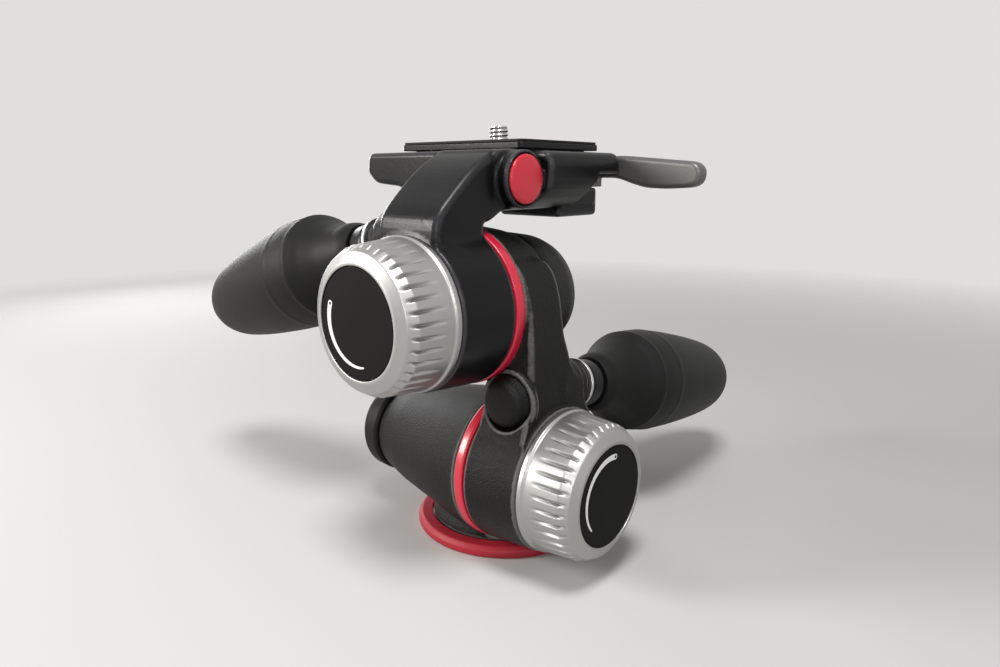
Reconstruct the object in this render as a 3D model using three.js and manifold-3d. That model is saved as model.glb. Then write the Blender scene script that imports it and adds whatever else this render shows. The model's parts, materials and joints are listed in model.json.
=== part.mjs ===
// Three way pan tilt head for a photo tripod, with two retractable handles.
// Millimetres, +Z up. The origin is the middle of the base's underside.
// The front tilt turns about an axis along X, with its friction knob at +X and its handle towards +Y.
// The side tilt turns about an axis along Y, with its friction knob at -Y and its handle towards -X.

import * as THREE from 'three';
import { ConvexGeometry } from 'three/addons/geometries/ConvexGeometry.js';
import { mergeVertices } from 'three/addons/utils/BufferGeometryUtils.js';
import Module from 'manifold-3d';

const wasm = await Module();
wasm.setup();

// Fits and facets
const gap = 0.3;
const overrun = 1.5;
const weldDistance = 0.0001;
const roundSteps = 30;
const handleSteps = 20;
const smallSteps = 14;
const pinSteps = 10;
const nutSides = 6;
const cornerPoints = 3;
const bevelRings = 2;

// Base: a plate with a red ring round it, standing on the tripod or table
const baseRadius = 30;
const ringWidth = 3;
const plateRadius = baseRadius - ringWidth;
const plateThickness = 2.8;
const ringHeight = 3.8;
const ringLipThickness = 0.6;
const ringEdgeRadius = 0.7;
const threadRadius = 4.76;
const insertRadius = 8;
const insertLength = 14;
const spindleRadius = 10.2;
const spindleTop = 18.3;

// The two tilt axes
const housingSeamRadius = 23.4;
const housingRise = 4.7;
const frontAxisY = -13;
const frontAxisZ = housingSeamRadius + housingRise;
const frontSeamX = 11.6;
const sideAxisX = 6.2;
const sideAxisZ = 79.8;
const sideSeamY = -25.5;

// What both axes share, measured outwards along the axis from the seam ring's inner face
const seamRingWidth = 3.3;
const seamRingRadius = 23.6;
const spigotRadius = 16.5;
const collarBackRadius = 23.4;
const collarFrontRadius = 22.1;
const collarEnd = 22.4;
const shaftRadius = 6;
const shaftHeadRadius = 9;
const shaftHeadThickness = 3.2;
const shaftHeadDepth = 15.5;
const shaftEnd = 32;
const drumRadius = 12;
const drumEnd = 16.3;
const shoulderEnd = 18.4;
const washerRadius = 13;
const washerThickness = 0.7;
const washerCone = 0.5;
const handlePlace = 11.3;

// Friction knob
const knobBackRadius = 21.7;
const knobRimWidth = 1.7;
const knobSideRadius = 21.3;
const knobFrontRadius = 20.2;
const knobFrontEdge = 12.8;
const knobBevelRadius = 18.6;
const knobBevelEdge = 15.6;
const knobLipRadius = 15.8;
const knobLength = 17.1;
const knobCavityRadius = 18;
const knobCavityDepth = 12.6;
const knobLabelRadius = 14.7;
const knobLabelThickness = 1.2;
const knobLabelFront = 16.8;
const fluteCount = 36;
const fluteDepth = 0.8;
const nutRadius = 9.2;
const nutEnd = 33.5;

// Pan housing and its lock
const housingEndX = -34;
const housingEndRadius = 15;
const neckInset = 5.2;
const neckRadius = baseRadius - neckInset;
const neckTopRadius = 17;
const neckHeight = 26;
const neckRimHeight = 2.2;
const hollowRadius = 9.5;
const screwBushLength = 11;
const lockScrewRadius = 4;
const lockScrewReach = 18.7;
const lockKnobRadius = 15.9;
const lockKnobLength = 8.6;
const lockKnobSocket = 6;
const shoeWidthX = 8;
const shoeWidthY = 13;
const shoeNearX = -7;
const shoeNearY = -2;
const shoeBottom = 9;
const shoeTop = 32;
const levelBossRadius = 6;
const levelBossY = 17.6;
const levelBossTop = 21;
const levelRadius = 4.3;
const levelDepth = 3.4;

// Tilt arm and the housing at its top
const armInnerX = 15.3;
const armOuterX = 33.6;
const armBottomZ = 28.1;
const armTopZ = 95;
const armFrontY = -31.2;
const armRearY = 5;
const armEdge = 1.2;
const rearSeamDepth = 17.4;
const rearSeamRadius = 20;
const rearPocketRadius = 15;
const rearPocketDepth = 6;
const capEndDepth = 33;
const capEndRadius = 16.6;
const capShoulderDepth = 28;
const capShoulderRadius = 18.6;
const capSpigotRadius = 14.6;
const capSpigotLength = 4;
const plugX = 24.3;
const plugZ = 53.5;
const plugRimRadius = 9.6;
const plugRimRise = 1.2;
const plugFlangeRadius = 7.9;
const plugFaceRadius = 7.2;
const plugTopRadius = 6;
const plugRise = 5.4;
const plugFlangeThickness = 1.3;
const plugStemRadius = 5;
const plugStemLength = 3.6;

// Handles, each in a frame whose +Z runs out along the handle from the face that its ferrule seats on
const frontHandleTilt = 10.7;
const frontHandleX = 24;
const frontHandleY = 4.6;
const frontHandleZ = 52.1;
const sideHandleTilt = 17.65;
const sideHandleX = -15.6;
const sideHandleY = sideSeamY - handlePlace;
const sideHandleZ = 96.8;
const handleBossRadius = 8.5;
const handleBossLength = 15;
const handleBossEdge = 5.2;
const handleNeckRadius = 7;
const handleNeckLength = 4.6;
const sideBossRise = 5;
const ferruleRadius = 7.6;
const ferruleEnd = 8.6;
const handleRingRadius = 8;
const handleRingWidth = 1.2;
const rodRadius = 4;
const rodScrewLength = 24;
const rodReach = 82;
const rodEndRoom = 2.9;
const gripStart = 8.9;
const gripLength = 97;
const gripRadius = 18.05;
const gripBoreDepth = rodReach + rodEndRoom - gripStart;
const plungerRadius = 3.5;

// Bracket and quick release platform
const bracketLeftX = -5.6;
const bracketRightX = 18.1;
const bracketFrontY = -47.8;
const bracketRearY = -9.8;
const bracketEdge = 2.2;
const platformLeftX = -38.5;
const platformRightX = 24.5;
const platformFrontY = -25;
const platformRearY = 27.7;
const platformBottomZ = 106.8;
const platformTopZ = 123.8;
const platformEdge = 1.6;
const wingStartY = -14;
const blockLeftX = -10;
const blockRightX = 15;
const blockFrontY = 8;
const blockRearY = 29.3;
const blockBottomZ = 103.8;
const footFrontY = -46.5;
const footPeakX = 23.3;
const footPeakY = -34.5;
const footPeakZ = 95.4;
const footRearX = 19;
const footRearY = -29.3;
const footRearZ = 99.4;
const footInnerX = 12;
const footBaseZ = 94;
const footTopZ = 106;
const badgeY = -16.9;
const badgeZ = 115.8;
const badgeRadius = 6.9;
const badgeBossRadius = 8.1;
const badgeBossEndX = 22.4;
const badgeThickness = 1.4;
const badgeDomeRadius = 5.5;
const badgeRecess = 1;

// Camera plate
const plateCentreX = -8.75;
const plateCentreY = 6.5;
const plateLength = 52.5;
const plateWidth = 39;
const plateCorner = 2;
const plateInset = 3;
const plateFlangeZ = 124.4;
const plateTopZ = 126.3;
const padThickness = 0.8;
const padInset = 0.35;
const recessFloorZ = 119;
const cameraThreadRadius = 3.17;
const cameraThreadRise = 5.2;
const cameraScrewHeadRadius = 6.5;
const cameraScrewHeadThickness = 2.4;
const cameraScrewSlotWidth = 1.4;
const cameraScrewSlotDepth = 1;

// Quick release lever, safety catch and levels
const leverPivotX = 8;
const leverPivotY = 22.5;
const leverKnuckleRadius = 6.5;
const leverBottomZ = 113;
const leverKnuckleTopZ = 117;
const leverFaceY = 28.2;
const leverThickness = 5.4;
const leverTipX = 52.3;
const leverLowZ = 112.7;
const leverHighZ = 123.4;
const leverEdge = 1;
const leverPinRadius = 2;
const leverPinBottomZ = 105.2;
const leverPinTopZ = 118.1;
const catchX = -14;
const catchZ = 114.6;
const catchRadius = 2.6;
const catchLength = 7.4;
const catchTravel = 2;
const catchProud = 2.2;
const vialRadius = 2.1;
const vialLength = 13;
const rearVialX = -24;
const endVialY = 6;
const vialZ = 116.4;
const vialSkin = 0.25;

// Outlines, as shares of the sizes that they follow
const bracketShares = [
  [0.05, 0.01], [0, 0.34], [0, 0.56], [0.066, 0.65], [0.163, 0.727], [0.355, 0.873], [0.521, 0.961],
  [0.653, 1],
  [1, 1], [1, 0.63], [0.726, 0.63], [0.575, 0.553], [0.492, 0.553], [0.492, 0.01],
];
const platformShares = [
  [0.421, 0.011], [0.841, 0], [0.881, 0.213], [0.992, 0.54], [1, 0.787], [0.973, 1], [0.019, 0.985],
  [0, 0.644],
  [0.063, 0.431], [0.246, 0.379],
];
const armSideShares = [
  [0, 0.2], [0.1, 0.34], [0.16, 0.43], [0.16, 1], [0.57, 1], [0.585, 0.66], [0.63, 0.6], [0.7, 0.5],
  [0.86, 0.33],
  [1, 0.2], [1, 0], [0, 0],
];
const armFrontShares = [
  [0, 0], [1, 0], [1, 0.2], [0.92, 0.4], [0.91, 0.66], [0.84, 0.82], [0.7, 0.93], [0.45, 0.99], [-0.2, 0.9],
  [0, 0.5],
];
const gripShares = [
  [0, 0.466], [0.05, 0.555], [0.124, 0.656], [0.175, 0.79], [0.212, 0.93], [0.222, 0.95], [0.234, 0.935],
  [0.25, 0.97], [0.33, 1], [0.433, 0.98], [0.6, 0.92], [0.76, 0.82], [0.85, 0.69], [0.92, 0.5],
  [0.97, 0.32], [1, 0.1],
];
const leverShares = [
  [0, 0.3], [0.33, 0.3], [0.46, 0.13], [0.57, 0.02], [0.73, 0], [0.93, 0.05], [0.985, 0.18], [1, 0.45],
  [0.985, 0.63], [0.94, 0.77], [0.35, 0.965], [0.13, 0.9], [0, 0.55],
];
const lockKnobShares = [[0.95, 0], [1, 0.12], [0.985, 0.7], [0.9, 0.93], [0.78, 1]];

// Solids
function facesOut(indices, positions) {
  const a = new THREE.Vector3();
  const b = new THREE.Vector3();
  const c = new THREE.Vector3();
  let volume = 0;
  for (let i = 0; i < indices.length; i += 3) {
    a.fromArray(positions, 3 * indices[i]);
    b.fromArray(positions, 3 * indices[i + 1]);
    c.fromArray(positions, 3 * indices[i + 2]);
    volume += a.dot(b.cross(c));
  }
  return volume > 0;
}

function solidFrom(geometry) {
  const bare = geometry.clone();
  bare.deleteAttribute('normal');
  bare.deleteAttribute('uv');
  const merged = mergeVertices(bare, weldDistance);
  const positions = merged.attributes.position.array;
  const all = Array.from(merged.index.array);
  const kept = [];
  for (let i = 0; i < all.length; i += 3) {
    const [a, b, c] = all.slice(i, i + 3);
    if (a !== b && b !== c && c !== a) kept.push(a, b, c);
  }
  if (!facesOut(kept, positions)) kept.reverse();
  return new wasm.Manifold(new wasm.Mesh({
    numProp: 3,
    vertProperties: Float32Array.from(positions),
    triVerts: Uint32Array.from(kept),
  }));
}

function geometryFrom(solid) {
  const mesh = solid.getMesh();
  const geometry = new THREE.BufferGeometry();
  geometry.setAttribute('position', new THREE.BufferAttribute(Float32Array.from(mesh.vertProperties), 3));
  geometry.setIndex(Array.from(mesh.triVerts));
  geometry.computeVertexNormals();
  return geometry;
}

// A solid of revolution about +Z, from [radius, height] points.
function turned(profile, steps = roundSteps) {
  const points = profile.map(([radius, height]) => new THREE.Vector2(radius, height));
  return solidFrom(new THREE.LatheGeometry(points, steps).rotateX(Math.PI / 2));
}

function disc(radius, from, to, steps = roundSteps) {
  return turned([[0, from], [radius, from], [radius, to], [0, to]], steps);
}

function tube(inner, outer, from, to, steps = roundSteps) {
  return turned([[inner, from], [outer, from], [outer, to], [inner, to], [inner, from]], steps);
}

function box(low, high) {
  const size = high.map((value, i) => value - low[i]);
  const middle = high.map((value, i) => (value + low[i]) / 2);
  return solidFrom(new THREE.BoxGeometry(...size).translate(...middle));
}

// A prism of the outline along +Z from 0 to length, with its two end edges rounded by edge.
function prism(outline, length, edge = 0) {
  const shape = new THREE.Shape(outline.map(([x, y]) => new THREE.Vector2(x, y)));
  const geometry = new THREE.ExtrudeGeometry(shape, {
    depth: length - 2 * edge,
    bevelEnabled: edge > 0,
    bevelThickness: edge,
    bevelSize: edge,
    bevelOffset: -edge,
    bevelSegments: bevelRings,
  });
  return solidFrom(geometry.translate(0, 0, edge));
}

function basis(xAxis, yAxis, zAxis) {
  const toVector = (axis) => new THREE.Vector3(...axis);
  return new THREE.Matrix4().makeBasis(toVector(xAxis), toVector(yAxis), toVector(zAxis));
}

// The outline is in Y and Z.
function prismAlongX(outline, from, to, edge) {
  const turn = basis([0, 1, 0], [0, 0, 1], [1, 0, 0]).setPosition(from, 0, 0);
  return prism(outline, to - from, edge).transform(turn.elements);
}

// The outline is in X and Z.
function prismAlongY(outline, from, to, edge) {
  const turn = basis([1, 0, 0], [0, 0, 1], [0, -1, 0]).setPosition(0, to, 0);
  return prism(outline, to - from, edge).transform(turn.elements);
}

// The outline is in X and Y.
function prismAlongZ(outline, from, to, edge) {
  return prism(outline, to - from, edge).translate(0, 0, from);
}

function outlineFrom(shares, low, high) {
  return shares.map(([u, v]) => [low[0] + u * (high[0] - low[0]), low[1] + v * (high[1] - low[1])]);
}

function roundedRectangle(low, high, radius) {
  const shape = new THREE.Shape();
  shape.moveTo(low[0] + radius, low[1]);
  shape.lineTo(high[0] - radius, low[1]);
  shape.absarc(high[0] - radius, low[1] + radius, radius, -Math.PI / 2, 0);
  shape.absarc(high[0] - radius, high[1] - radius, radius, 0, Math.PI / 2);
  shape.absarc(low[0] + radius, high[1] - radius, radius, Math.PI / 2, Math.PI);
  shape.absarc(low[0] + radius, low[1] + radius, radius, Math.PI, 1.5 * Math.PI);
  return shape.getPoints(cornerPoints).map((point) => [point.x, point.y]);
}

// Frames: a group whose +Z lies along the direction, and a solid carried into it
function frameAt(position, direction) {
  const frame = new THREE.Group();
  frame.position.set(...position);
  frame.quaternion.setFromUnitVectors(new THREE.Vector3(0, 0, 1),
    new THREE.Vector3(...direction).normalize());
  frame.updateMatrixWorld(true);
  head.add(frame);
  return frame;
}

function carried(solid, frame) {
  return solid.transform(frame.matrixWorld.elements);
}

function joined(...solids) {
  return solids.reduce((whole, solid) => whole.add(solid));
}

function cut(solid, ...tools) {
  return tools.reduce((whole, tool) => whole.subtract(tool), solid);
}

// Finishes
const finishes = {
  blackCasting: { color: 0x17171a, roughness: 0.55, metalness: 0.35 },
  blackPlastic: { color: 0x141416, roughness: 0.5, metalness: 0 },
  blackRubber: { color: 0x101012, roughness: 0.75, metalness: 0 },
  redPlastic: { color: 0xcb2340, roughness: 0.45, metalness: 0 },
  satinAluminium: { color: 0xc9c9cc, roughness: 0.32, metalness: 0.95 },
  greyLever: { color: 0x8d8b88, roughness: 0.4, metalness: 0.8 },
  steel: { color: 0xb4b5b8, roughness: 0.35, metalness: 0.95 },
  brass: { color: 0xb08d4a, roughness: 0.4, metalness: 0.9 },
  levelFluid: { color: 0xb7d94a, roughness: 0.1, metalness: 0 },
};

const head = new THREE.Group();

function piece(name, solid, finish, parent = head) {
  const mesh = new THREE.Mesh(geometryFrom(solid), new THREE.MeshStandardMaterial(finishes[finish]));
  mesh.name = name;
  parent.add(mesh);
}

const degrees = Math.PI / 180;
const frontSlope = frontHandleTilt * degrees;
const sideSlope = sideHandleTilt * degrees;
const frontAxis = frameAt([frontSeamX, frontAxisY, frontAxisZ], [1, 0, 0]);
const sideAxis = frameAt([sideAxisX, sideSeamY, sideAxisZ], [0, -1, 0]);
const lockAxis = frameAt([housingEndX - gap, frontAxisY, frontAxisZ], [-1, 0, 0]);
const frontHandle = frameAt([frontHandleX, frontHandleY, frontHandleZ],
  [0, Math.cos(frontSlope), -Math.sin(frontSlope)]);
const sideHandle = frameAt([sideHandleX, sideHandleY, sideHandleZ],
  [-Math.cos(sideSlope), 0, -Math.sin(sideSlope)]);

// Base
function makeBase() {
  const ringInner = plateRadius + gap;
  const lipInner = neckRadius + gap;
  const lipBottom = ringHeight - ringLipThickness;
  piece('base_plate', tube(insertRadius + gap, plateRadius, 0, plateThickness), 'steel');
  piece('base_ring', turned([
    [ringInner, 0], [baseRadius - ringEdgeRadius, 0], [baseRadius, ringEdgeRadius],
    [baseRadius, ringHeight - 2 * ringEdgeRadius],
    [baseRadius - ringEdgeRadius, ringHeight - ringEdgeRadius / 2],
    [baseRadius - 2 * ringEdgeRadius, ringHeight], [lipInner, ringHeight], [lipInner, lipBottom],
    [ringInner, lipBottom], [ringInner, 0],
  ]), 'redPlastic');
  piece('tripod_thread_insert', tube(threadRadius, insertRadius, 0, insertLength, smallSteps), 'steel');
  piece('pan_spindle', tube(insertRadius + gap, spindleRadius, plateThickness + gap, spindleTop), 'steel');
}

// The friction axis: what both tilt axes have between housing, collar and knob
function seamSpigot() {
  return disc(spigotRadius, -overrun, seamRingWidth);
}

function collar() {
  return turned([
    [0, seamRingWidth + gap], [collarBackRadius, seamRingWidth + gap],
    [collarFrontRadius, collarEnd - armEdge],
    [collarFrontRadius - armEdge, collarEnd], [0, collarEnd],
  ]);
}

function collarBores() {
  return joined(
    disc(shaftRadius + gap, 0, collarEnd + overrun, smallSteps),
    disc(drumRadius + gap, 0, drumEnd + gap),
    disc(washerRadius + gap, shoulderEnd, collarEnd + overrun),
  );
}

function housingBores() {
  return joined(
    disc(shaftRadius + gap, -shaftHeadDepth, seamRingWidth + overrun, smallSteps),
    disc(shaftHeadRadius + gap, -shaftHeadDepth - gap, -shaftHeadDepth + shaftHeadThickness + gap),
  );
}

// The knob's flutes are cut deepest at its front edge and run out towards its back rim.
function flutedKnob() {
  const recess = knobLabelFront - knobLabelThickness - gap;
  const profile = [
    [0, knobCavityDepth], [knobCavityRadius, knobCavityDepth], [knobCavityRadius, 0], [knobBackRadius, 0],
    [knobBackRadius, knobRimWidth], [knobSideRadius, knobRimWidth + gap], [knobFrontRadius, knobFrontEdge],
    [knobBevelRadius, knobBevelEdge], [knobLipRadius, knobLength], [knobLabelRadius + gap, knobLength],
    [knobLabelRadius + gap, recess], [0, recess],
  ];
  const points = profile.map(([radius, height]) => new THREE.Vector2(radius, height));
  const geometry = new THREE.LatheGeometry(points, 2 * fluteCount).rotateX(Math.PI / 2);
  const place = geometry.attributes.position;
  for (let i = 0; i < place.count; i += 1) {
    const ring = i % profile.length;
    const column = Math.floor(i / profile.length) % (2 * fluteCount);
    const height = profile[ring][1];
    const grooved = column % 2 === 1 && (height === knobFrontEdge || height === knobBevelEdge);
    const share = grooved ? 1 - fluteDepth / profile[ring][0] : 1;
    place.setXYZ(i, place.getX(i) * share, place.getY(i) * share, place.getZ(i));
  }
  return solidFrom(geometry);
}

function makeFrictionAxis(axis, name) {
  const ringInner = spigotRadius + gap;
  const washerStart = shoulderEnd + gap;
  const nutStart = washerStart + 2 * (washerThickness + washerCone + gap);
  const knobBack = collarEnd + gap;
  const coreEnd = knobBack + knobCavityDepth - gap;
  piece(`${name}_seam_ring`, tube(ringInner, seamRingRadius, 0, seamRingWidth), 'redPlastic', axis);
  piece(`${name}_tilt_shaft`, joined(
    disc(shaftHeadRadius, -shaftHeadDepth, -shaftHeadDepth + shaftHeadThickness, smallSteps),
    disc(shaftRadius, -shaftHeadDepth, shaftEnd, smallSteps),
  ), 'steel', axis);
  piece(`${name}_brake_drum`,
    tube(shaftRadius + gap, drumRadius, seamRingWidth + 2 * gap, drumEnd, smallSteps), 'steel', axis);
  for (const turn of [0, 1]) {
    const start = washerStart + turn * (washerThickness + washerCone + gap);
    const [inner, outer] = turn ? [0, washerCone] : [washerCone, 0];
    piece(`${name}_friction_washer_${turn + 1}`, turned([
      [shaftRadius + gap, start + inner], [washerRadius, start + outer],
      [washerRadius, start + outer + washerThickness], [shaftRadius + gap, start + inner + washerThickness],
      [shaftRadius + gap, start + inner],
    ], smallSteps), 'steel', axis);
  }
  piece(`${name}_friction_nut`, cut(
    disc(nutRadius, nutStart, nutEnd, nutSides),
    disc(shaftRadius + gap, nutStart - overrun, nutEnd + overrun, smallSteps),
  ), 'brass', axis);
  piece(`${name}_knob_core`, cut(
    disc(knobCavityRadius - gap, knobBack, coreEnd),
    disc(nutRadius + gap, knobBack - overrun, nutEnd + gap, nutSides),
  ), 'blackPlastic', axis);
  piece(`${name}_friction_knob`, flutedKnob().translate(0, 0, knobBack), 'satinAluminium', axis);
  const labelBack = knobBack + knobLabelFront - knobLabelThickness;
  piece(`${name}_knob_disc`, disc(knobLabelRadius, labelBack, knobBack + knobLabelFront), 'blackPlastic',
    axis);
}

// The handle: a screwed rod with a ferrule and a thin ring, and a grip that slides out along the rod
function makeHandle(frame, name, screwLength) {
  const bore = rodRadius + gap;
  const ferruleStart = handleRingWidth + gap;
  const gripProfile = gripShares.map(([along, out]) => [out * gripRadius, gripStart + along * gripLength]);
  const boreEnd = gripStart + gripBoreDepth;
  piece(`${name}_handle_rod`, disc(rodRadius, -screwLength, rodReach, smallSteps), 'steel', frame);
  piece(`${name}_handle_ferrule`, turned([
    [bore, ferruleStart], [ferruleRadius, ferruleStart], [ferruleRadius, ferruleEnd - ringEdgeRadius],
    [ferruleRadius - ringEdgeRadius, ferruleEnd], [bore, ferruleEnd], [bore, ferruleStart],
  ], smallSteps), 'blackCasting', frame);
  piece(`${name}_handle_ring`, tube(bore, handleRingRadius, 0, handleRingWidth, smallSteps),
    'steel', frame);
  piece(`${name}_handle_grip`, turned([
    [bore, gripStart], ...gripProfile, [0, gripStart + gripLength], [0, boreEnd], [bore, boreEnd],
    [bore, gripStart],
  ], handleSteps), 'blackRubber', frame);
}

// How far the clamp plunger reaches: from the drum to just under the handle's screw
function plungerBetween(axisHeight, screwHeight, slope) {
  const foot = axisHeight + drumRadius + gap;
  const top = screwHeight - rodRadius / Math.cos(slope) - plungerRadius * Math.tan(slope) - gap;
  return [foot, top];
}

const frontScrewZ = frontHandleZ + (frontHandleY - frontAxisY) * Math.tan(frontSlope);
const sideScrewZ = sideHandleZ + (sideAxisX - sideHandleX) * Math.tan(sideSlope);
const frontPlungerSpan = plungerBetween(frontAxisZ, frontScrewZ, frontSlope);
const sidePlungerSpan = plungerBetween(sideAxisZ, sideScrewZ, sideSlope);

function plungerAt(x, y, radius, from, to) {
  return disc(radius, from, to, smallSteps).translate(x, y, 0);
}

function handleBore(screwLength) {
  return disc(rodRadius + gap, -screwLength - gap, overrun, smallSteps);
}

function handleBoss(length) {
  return turned([
    [0, -length], [handleBossRadius, -length], [handleBossRadius, -handleBossEdge],
    [handleNeckRadius, -handleNeckLength], [handleNeckRadius, -gap], [0, -gap],
  ], handleSteps);
}

// A spot face in the casting, so that the ferrule turns clear of it
function ferruleRoom() {
  return disc(handleRingRadius + gap, -gap, gripStart, handleSteps);
}

// Pan housing: the tapered barrel over the base, with its neck, lock and level
function barrelProfile(seamRadius, endDepth, endRadius) {
  const bulgeShares = [[0.012, 1], [0.28, 0.8], [0.5, 0.6], [0.75, 0.35], [0.95, 0.06]];
  const rings = bulgeShares.map(([along, out]) => [endRadius + out * (seamRadius - endRadius),
    -along * endDepth]);
  return [[0, -gap], [seamRadius - armEdge, -gap], ...rings, [endRadius - armEdge, -endDepth],
    [0, -endDepth]];
}

function makePanHousing() {
  const depth = frontSeamX - housingEndX;
  const neckBottom = plateThickness + gap;
  const neck = turned([
    [0, neckBottom], [neckRadius, neckBottom], [neckRadius, neckBottom + neckRimHeight],
    [neckRadius - neckRimHeight, shoeBottom], [(neckRadius + neckTopRadius) / 2, spindleTop],
    [neckTopRadius, neckHeight], [0, neckHeight],
  ]);
  const collarRoom = disc(seamRingRadius + 2 * gap, -2 * gap, collarEnd + overrun);
  const levelBoss = disc(levelBossRadius, shoeBottom, levelBossTop, smallSteps).translate(0, levelBossY, 0);
  const body = joined(
    cut(neck, carried(collarRoom, frontAxis)),
    carried(joined(turned(barrelProfile(housingSeamRadius, depth, housingEndRadius)), seamSpigot()),
      frontAxis),
    levelBoss,
  );
  const shoeLow = [shoeNearX - shoeWidthX - gap, shoeNearY - shoeWidthY - gap, shoeBottom - gap];
  const shoeHigh = [shoeNearX + gap, shoeNearY + gap, shoeTop + gap];
  const hollowEnd = -shaftHeadDepth + shaftHeadThickness + gap;
  piece('pan_housing', cut(
    body,
    disc(spindleRadius + gap, -overrun, spindleTop + gap),
    box(shoeLow, shoeHigh),
    carried(joined(disc(hollowRadius, -depth - overrun, hollowEnd, smallSteps), housingBores()), frontAxis),
    disc(levelRadius + gap, levelBossTop - levelDepth - gap, levelBossTop + overrun, smallSteps)
      .translate(0, levelBossY, 0),
  ), 'blackCasting');
  piece('pan_level_vial', disc(levelRadius, levelBossTop - levelDepth, levelBossTop, smallSteps)
    .translate(0, levelBossY, 0), 'levelFluid');
  piece('pan_brake_shoe', cut(
    box([shoeNearX - shoeWidthX, shoeNearY - shoeWidthY, shoeBottom], [shoeNearX, shoeNearY, shoeTop]),
    disc(spindleRadius + gap, -overrun, spindleTop + gap),
  ), 'brass');
  piece('pan_lock_bush', tube(lockScrewRadius + gap, hollowRadius - gap, -gap - screwBushLength, -2 * gap,
    smallSteps),
    'brass', lockAxis);
  piece('pan_lock_screw', disc(lockScrewRadius, -lockScrewReach, lockKnobSocket - gap, smallSteps),
    'steel', lockAxis);
  const knobProfile = lockKnobShares.map(([out, along]) => [out * lockKnobRadius, along * lockKnobLength]);
  piece('pan_lock_knob', cut(
    turned([[0, 0], ...knobProfile, [0, lockKnobLength]]),
    disc(lockScrewRadius + gap, -overrun, lockKnobSocket, smallSteps),
  ), 'blackRubber', lockAxis);
}

// Tilt arm: the collar on the front axis, the arm and the housing of the side axis in one casting
function makeTiltArm() {
  const sideOutline = outlineFrom(armSideShares, [armFrontY, armBottomZ], [armRearY, armTopZ]);
  const frontOutline = outlineFrom(armFrontShares, [armInnerX, armBottomZ], [armOuterX, armTopZ]);
  const web = prismAlongX(sideOutline, -armOuterX, armOuterX, armEdge)
    .intersect(prismAlongY(frontOutline, armFrontY - overrun, armRearY + overrun, 0));
  const rearHousing = joined(
    turned(barrelProfile(housingSeamRadius, rearSeamDepth, rearSeamRadius)),
    seamSpigot(),
  );
  const capRoom = disc(rearSeamRadius + gap, -capEndDepth, -rearSeamDepth);
  const plugHole = joined(
    disc(plugStemRadius + gap, -overrun, plugStemLength + gap, smallSteps),
    disc(plugFlangeRadius + gap, -plugRise - overrun, 0, handleSteps),
  );
  const plugRim = disc(plugRimRadius, -plugRimRise, overrun, handleSteps);
  const ringRoom = disc(seamRingRadius + gap, -overrun, collarEnd);
  const [plungerFoot, plungerTop] = frontPlungerSpan;
  piece('tilt_arm', cut(
    joined(
      carried(collar(), frontAxis), cut(web, carried(capRoom, sideAxis)), carried(rearHousing, sideAxis),
      carried(handleBoss(handleBossLength), frontHandle), cut(carried(plugRim, plugFrame),
        carried(ringRoom, sideAxis)),
    ),
    carried(collarBores(), frontAxis),
    carried(housingBores(), sideAxis),
    carried(disc(rearPocketRadius, -rearSeamDepth - overrun, -rearPocketDepth), sideAxis),
    carried(joined(handleBore(rodScrewLength), ferruleRoom()), frontHandle),
    plungerAt(frontHandleX, frontAxisY, plungerRadius + gap, plungerFoot - overrun, plungerTop + rodRadius),
    carried(plugHole, plugFrame),
  ), 'blackCasting');
  piece('front_clamp_plunger',
    plungerAt(frontHandleX, frontAxisY, plungerRadius, plungerFoot, plungerTop), 'brass');
  piece('arm_plug', joined(
    turned([
      [0, -plugRise], [plugTopRadius, -plugRise], [plugFaceRadius, -plugRise + ringEdgeRadius],
      [plugFlangeRadius - gap, -plugFlangeThickness], [plugFlangeRadius, -plugFlangeThickness / 2],
      [plugFlangeRadius, -gap], [0, -gap],
    ], handleSteps),
    disc(plugStemRadius, -gap * 2, plugStemLength, smallSteps),
  ), 'blackPlastic', plugFrame);
  piece('side_housing_cap', joined(
    turned([
      [0, -rearSeamDepth - gap], [rearSeamRadius - gap, -rearSeamDepth - gap],
      [rearSeamRadius, -rearSeamDepth - armEdge], [capShoulderRadius, -capShoulderDepth],
      [capEndRadius, -capEndDepth + armEdge], [capEndRadius - 2 * armEdge, -capEndDepth], [0, -capEndDepth],
    ]),
    tube(rearPocketRadius - 2 * armEdge, capSpigotRadius, -rearSeamDepth - armEdge,
      -rearSeamDepth + capSpigotLength),
  ), 'blackPlastic', sideAxis);
}

const armFaceY = armFrontY + armSideShares[2][0] * (armRearY - armFrontY);
const plugFrame = frameAt([plugX, armFaceY, plugZ], [0, 1, 0]);

// Platform: the collar on the side axis, the bracket and the quick release bed in one casting
function plateOutline(inset) {
  const halfLength = plateLength / 2 - inset;
  const halfWidth = plateWidth / 2 - inset;
  return roundedRectangle(
    [plateCentreX - halfLength, plateCentreY - halfWidth],
    [plateCentreX + halfLength, plateCentreY + halfWidth],
    plateCorner,
  );
}

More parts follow.
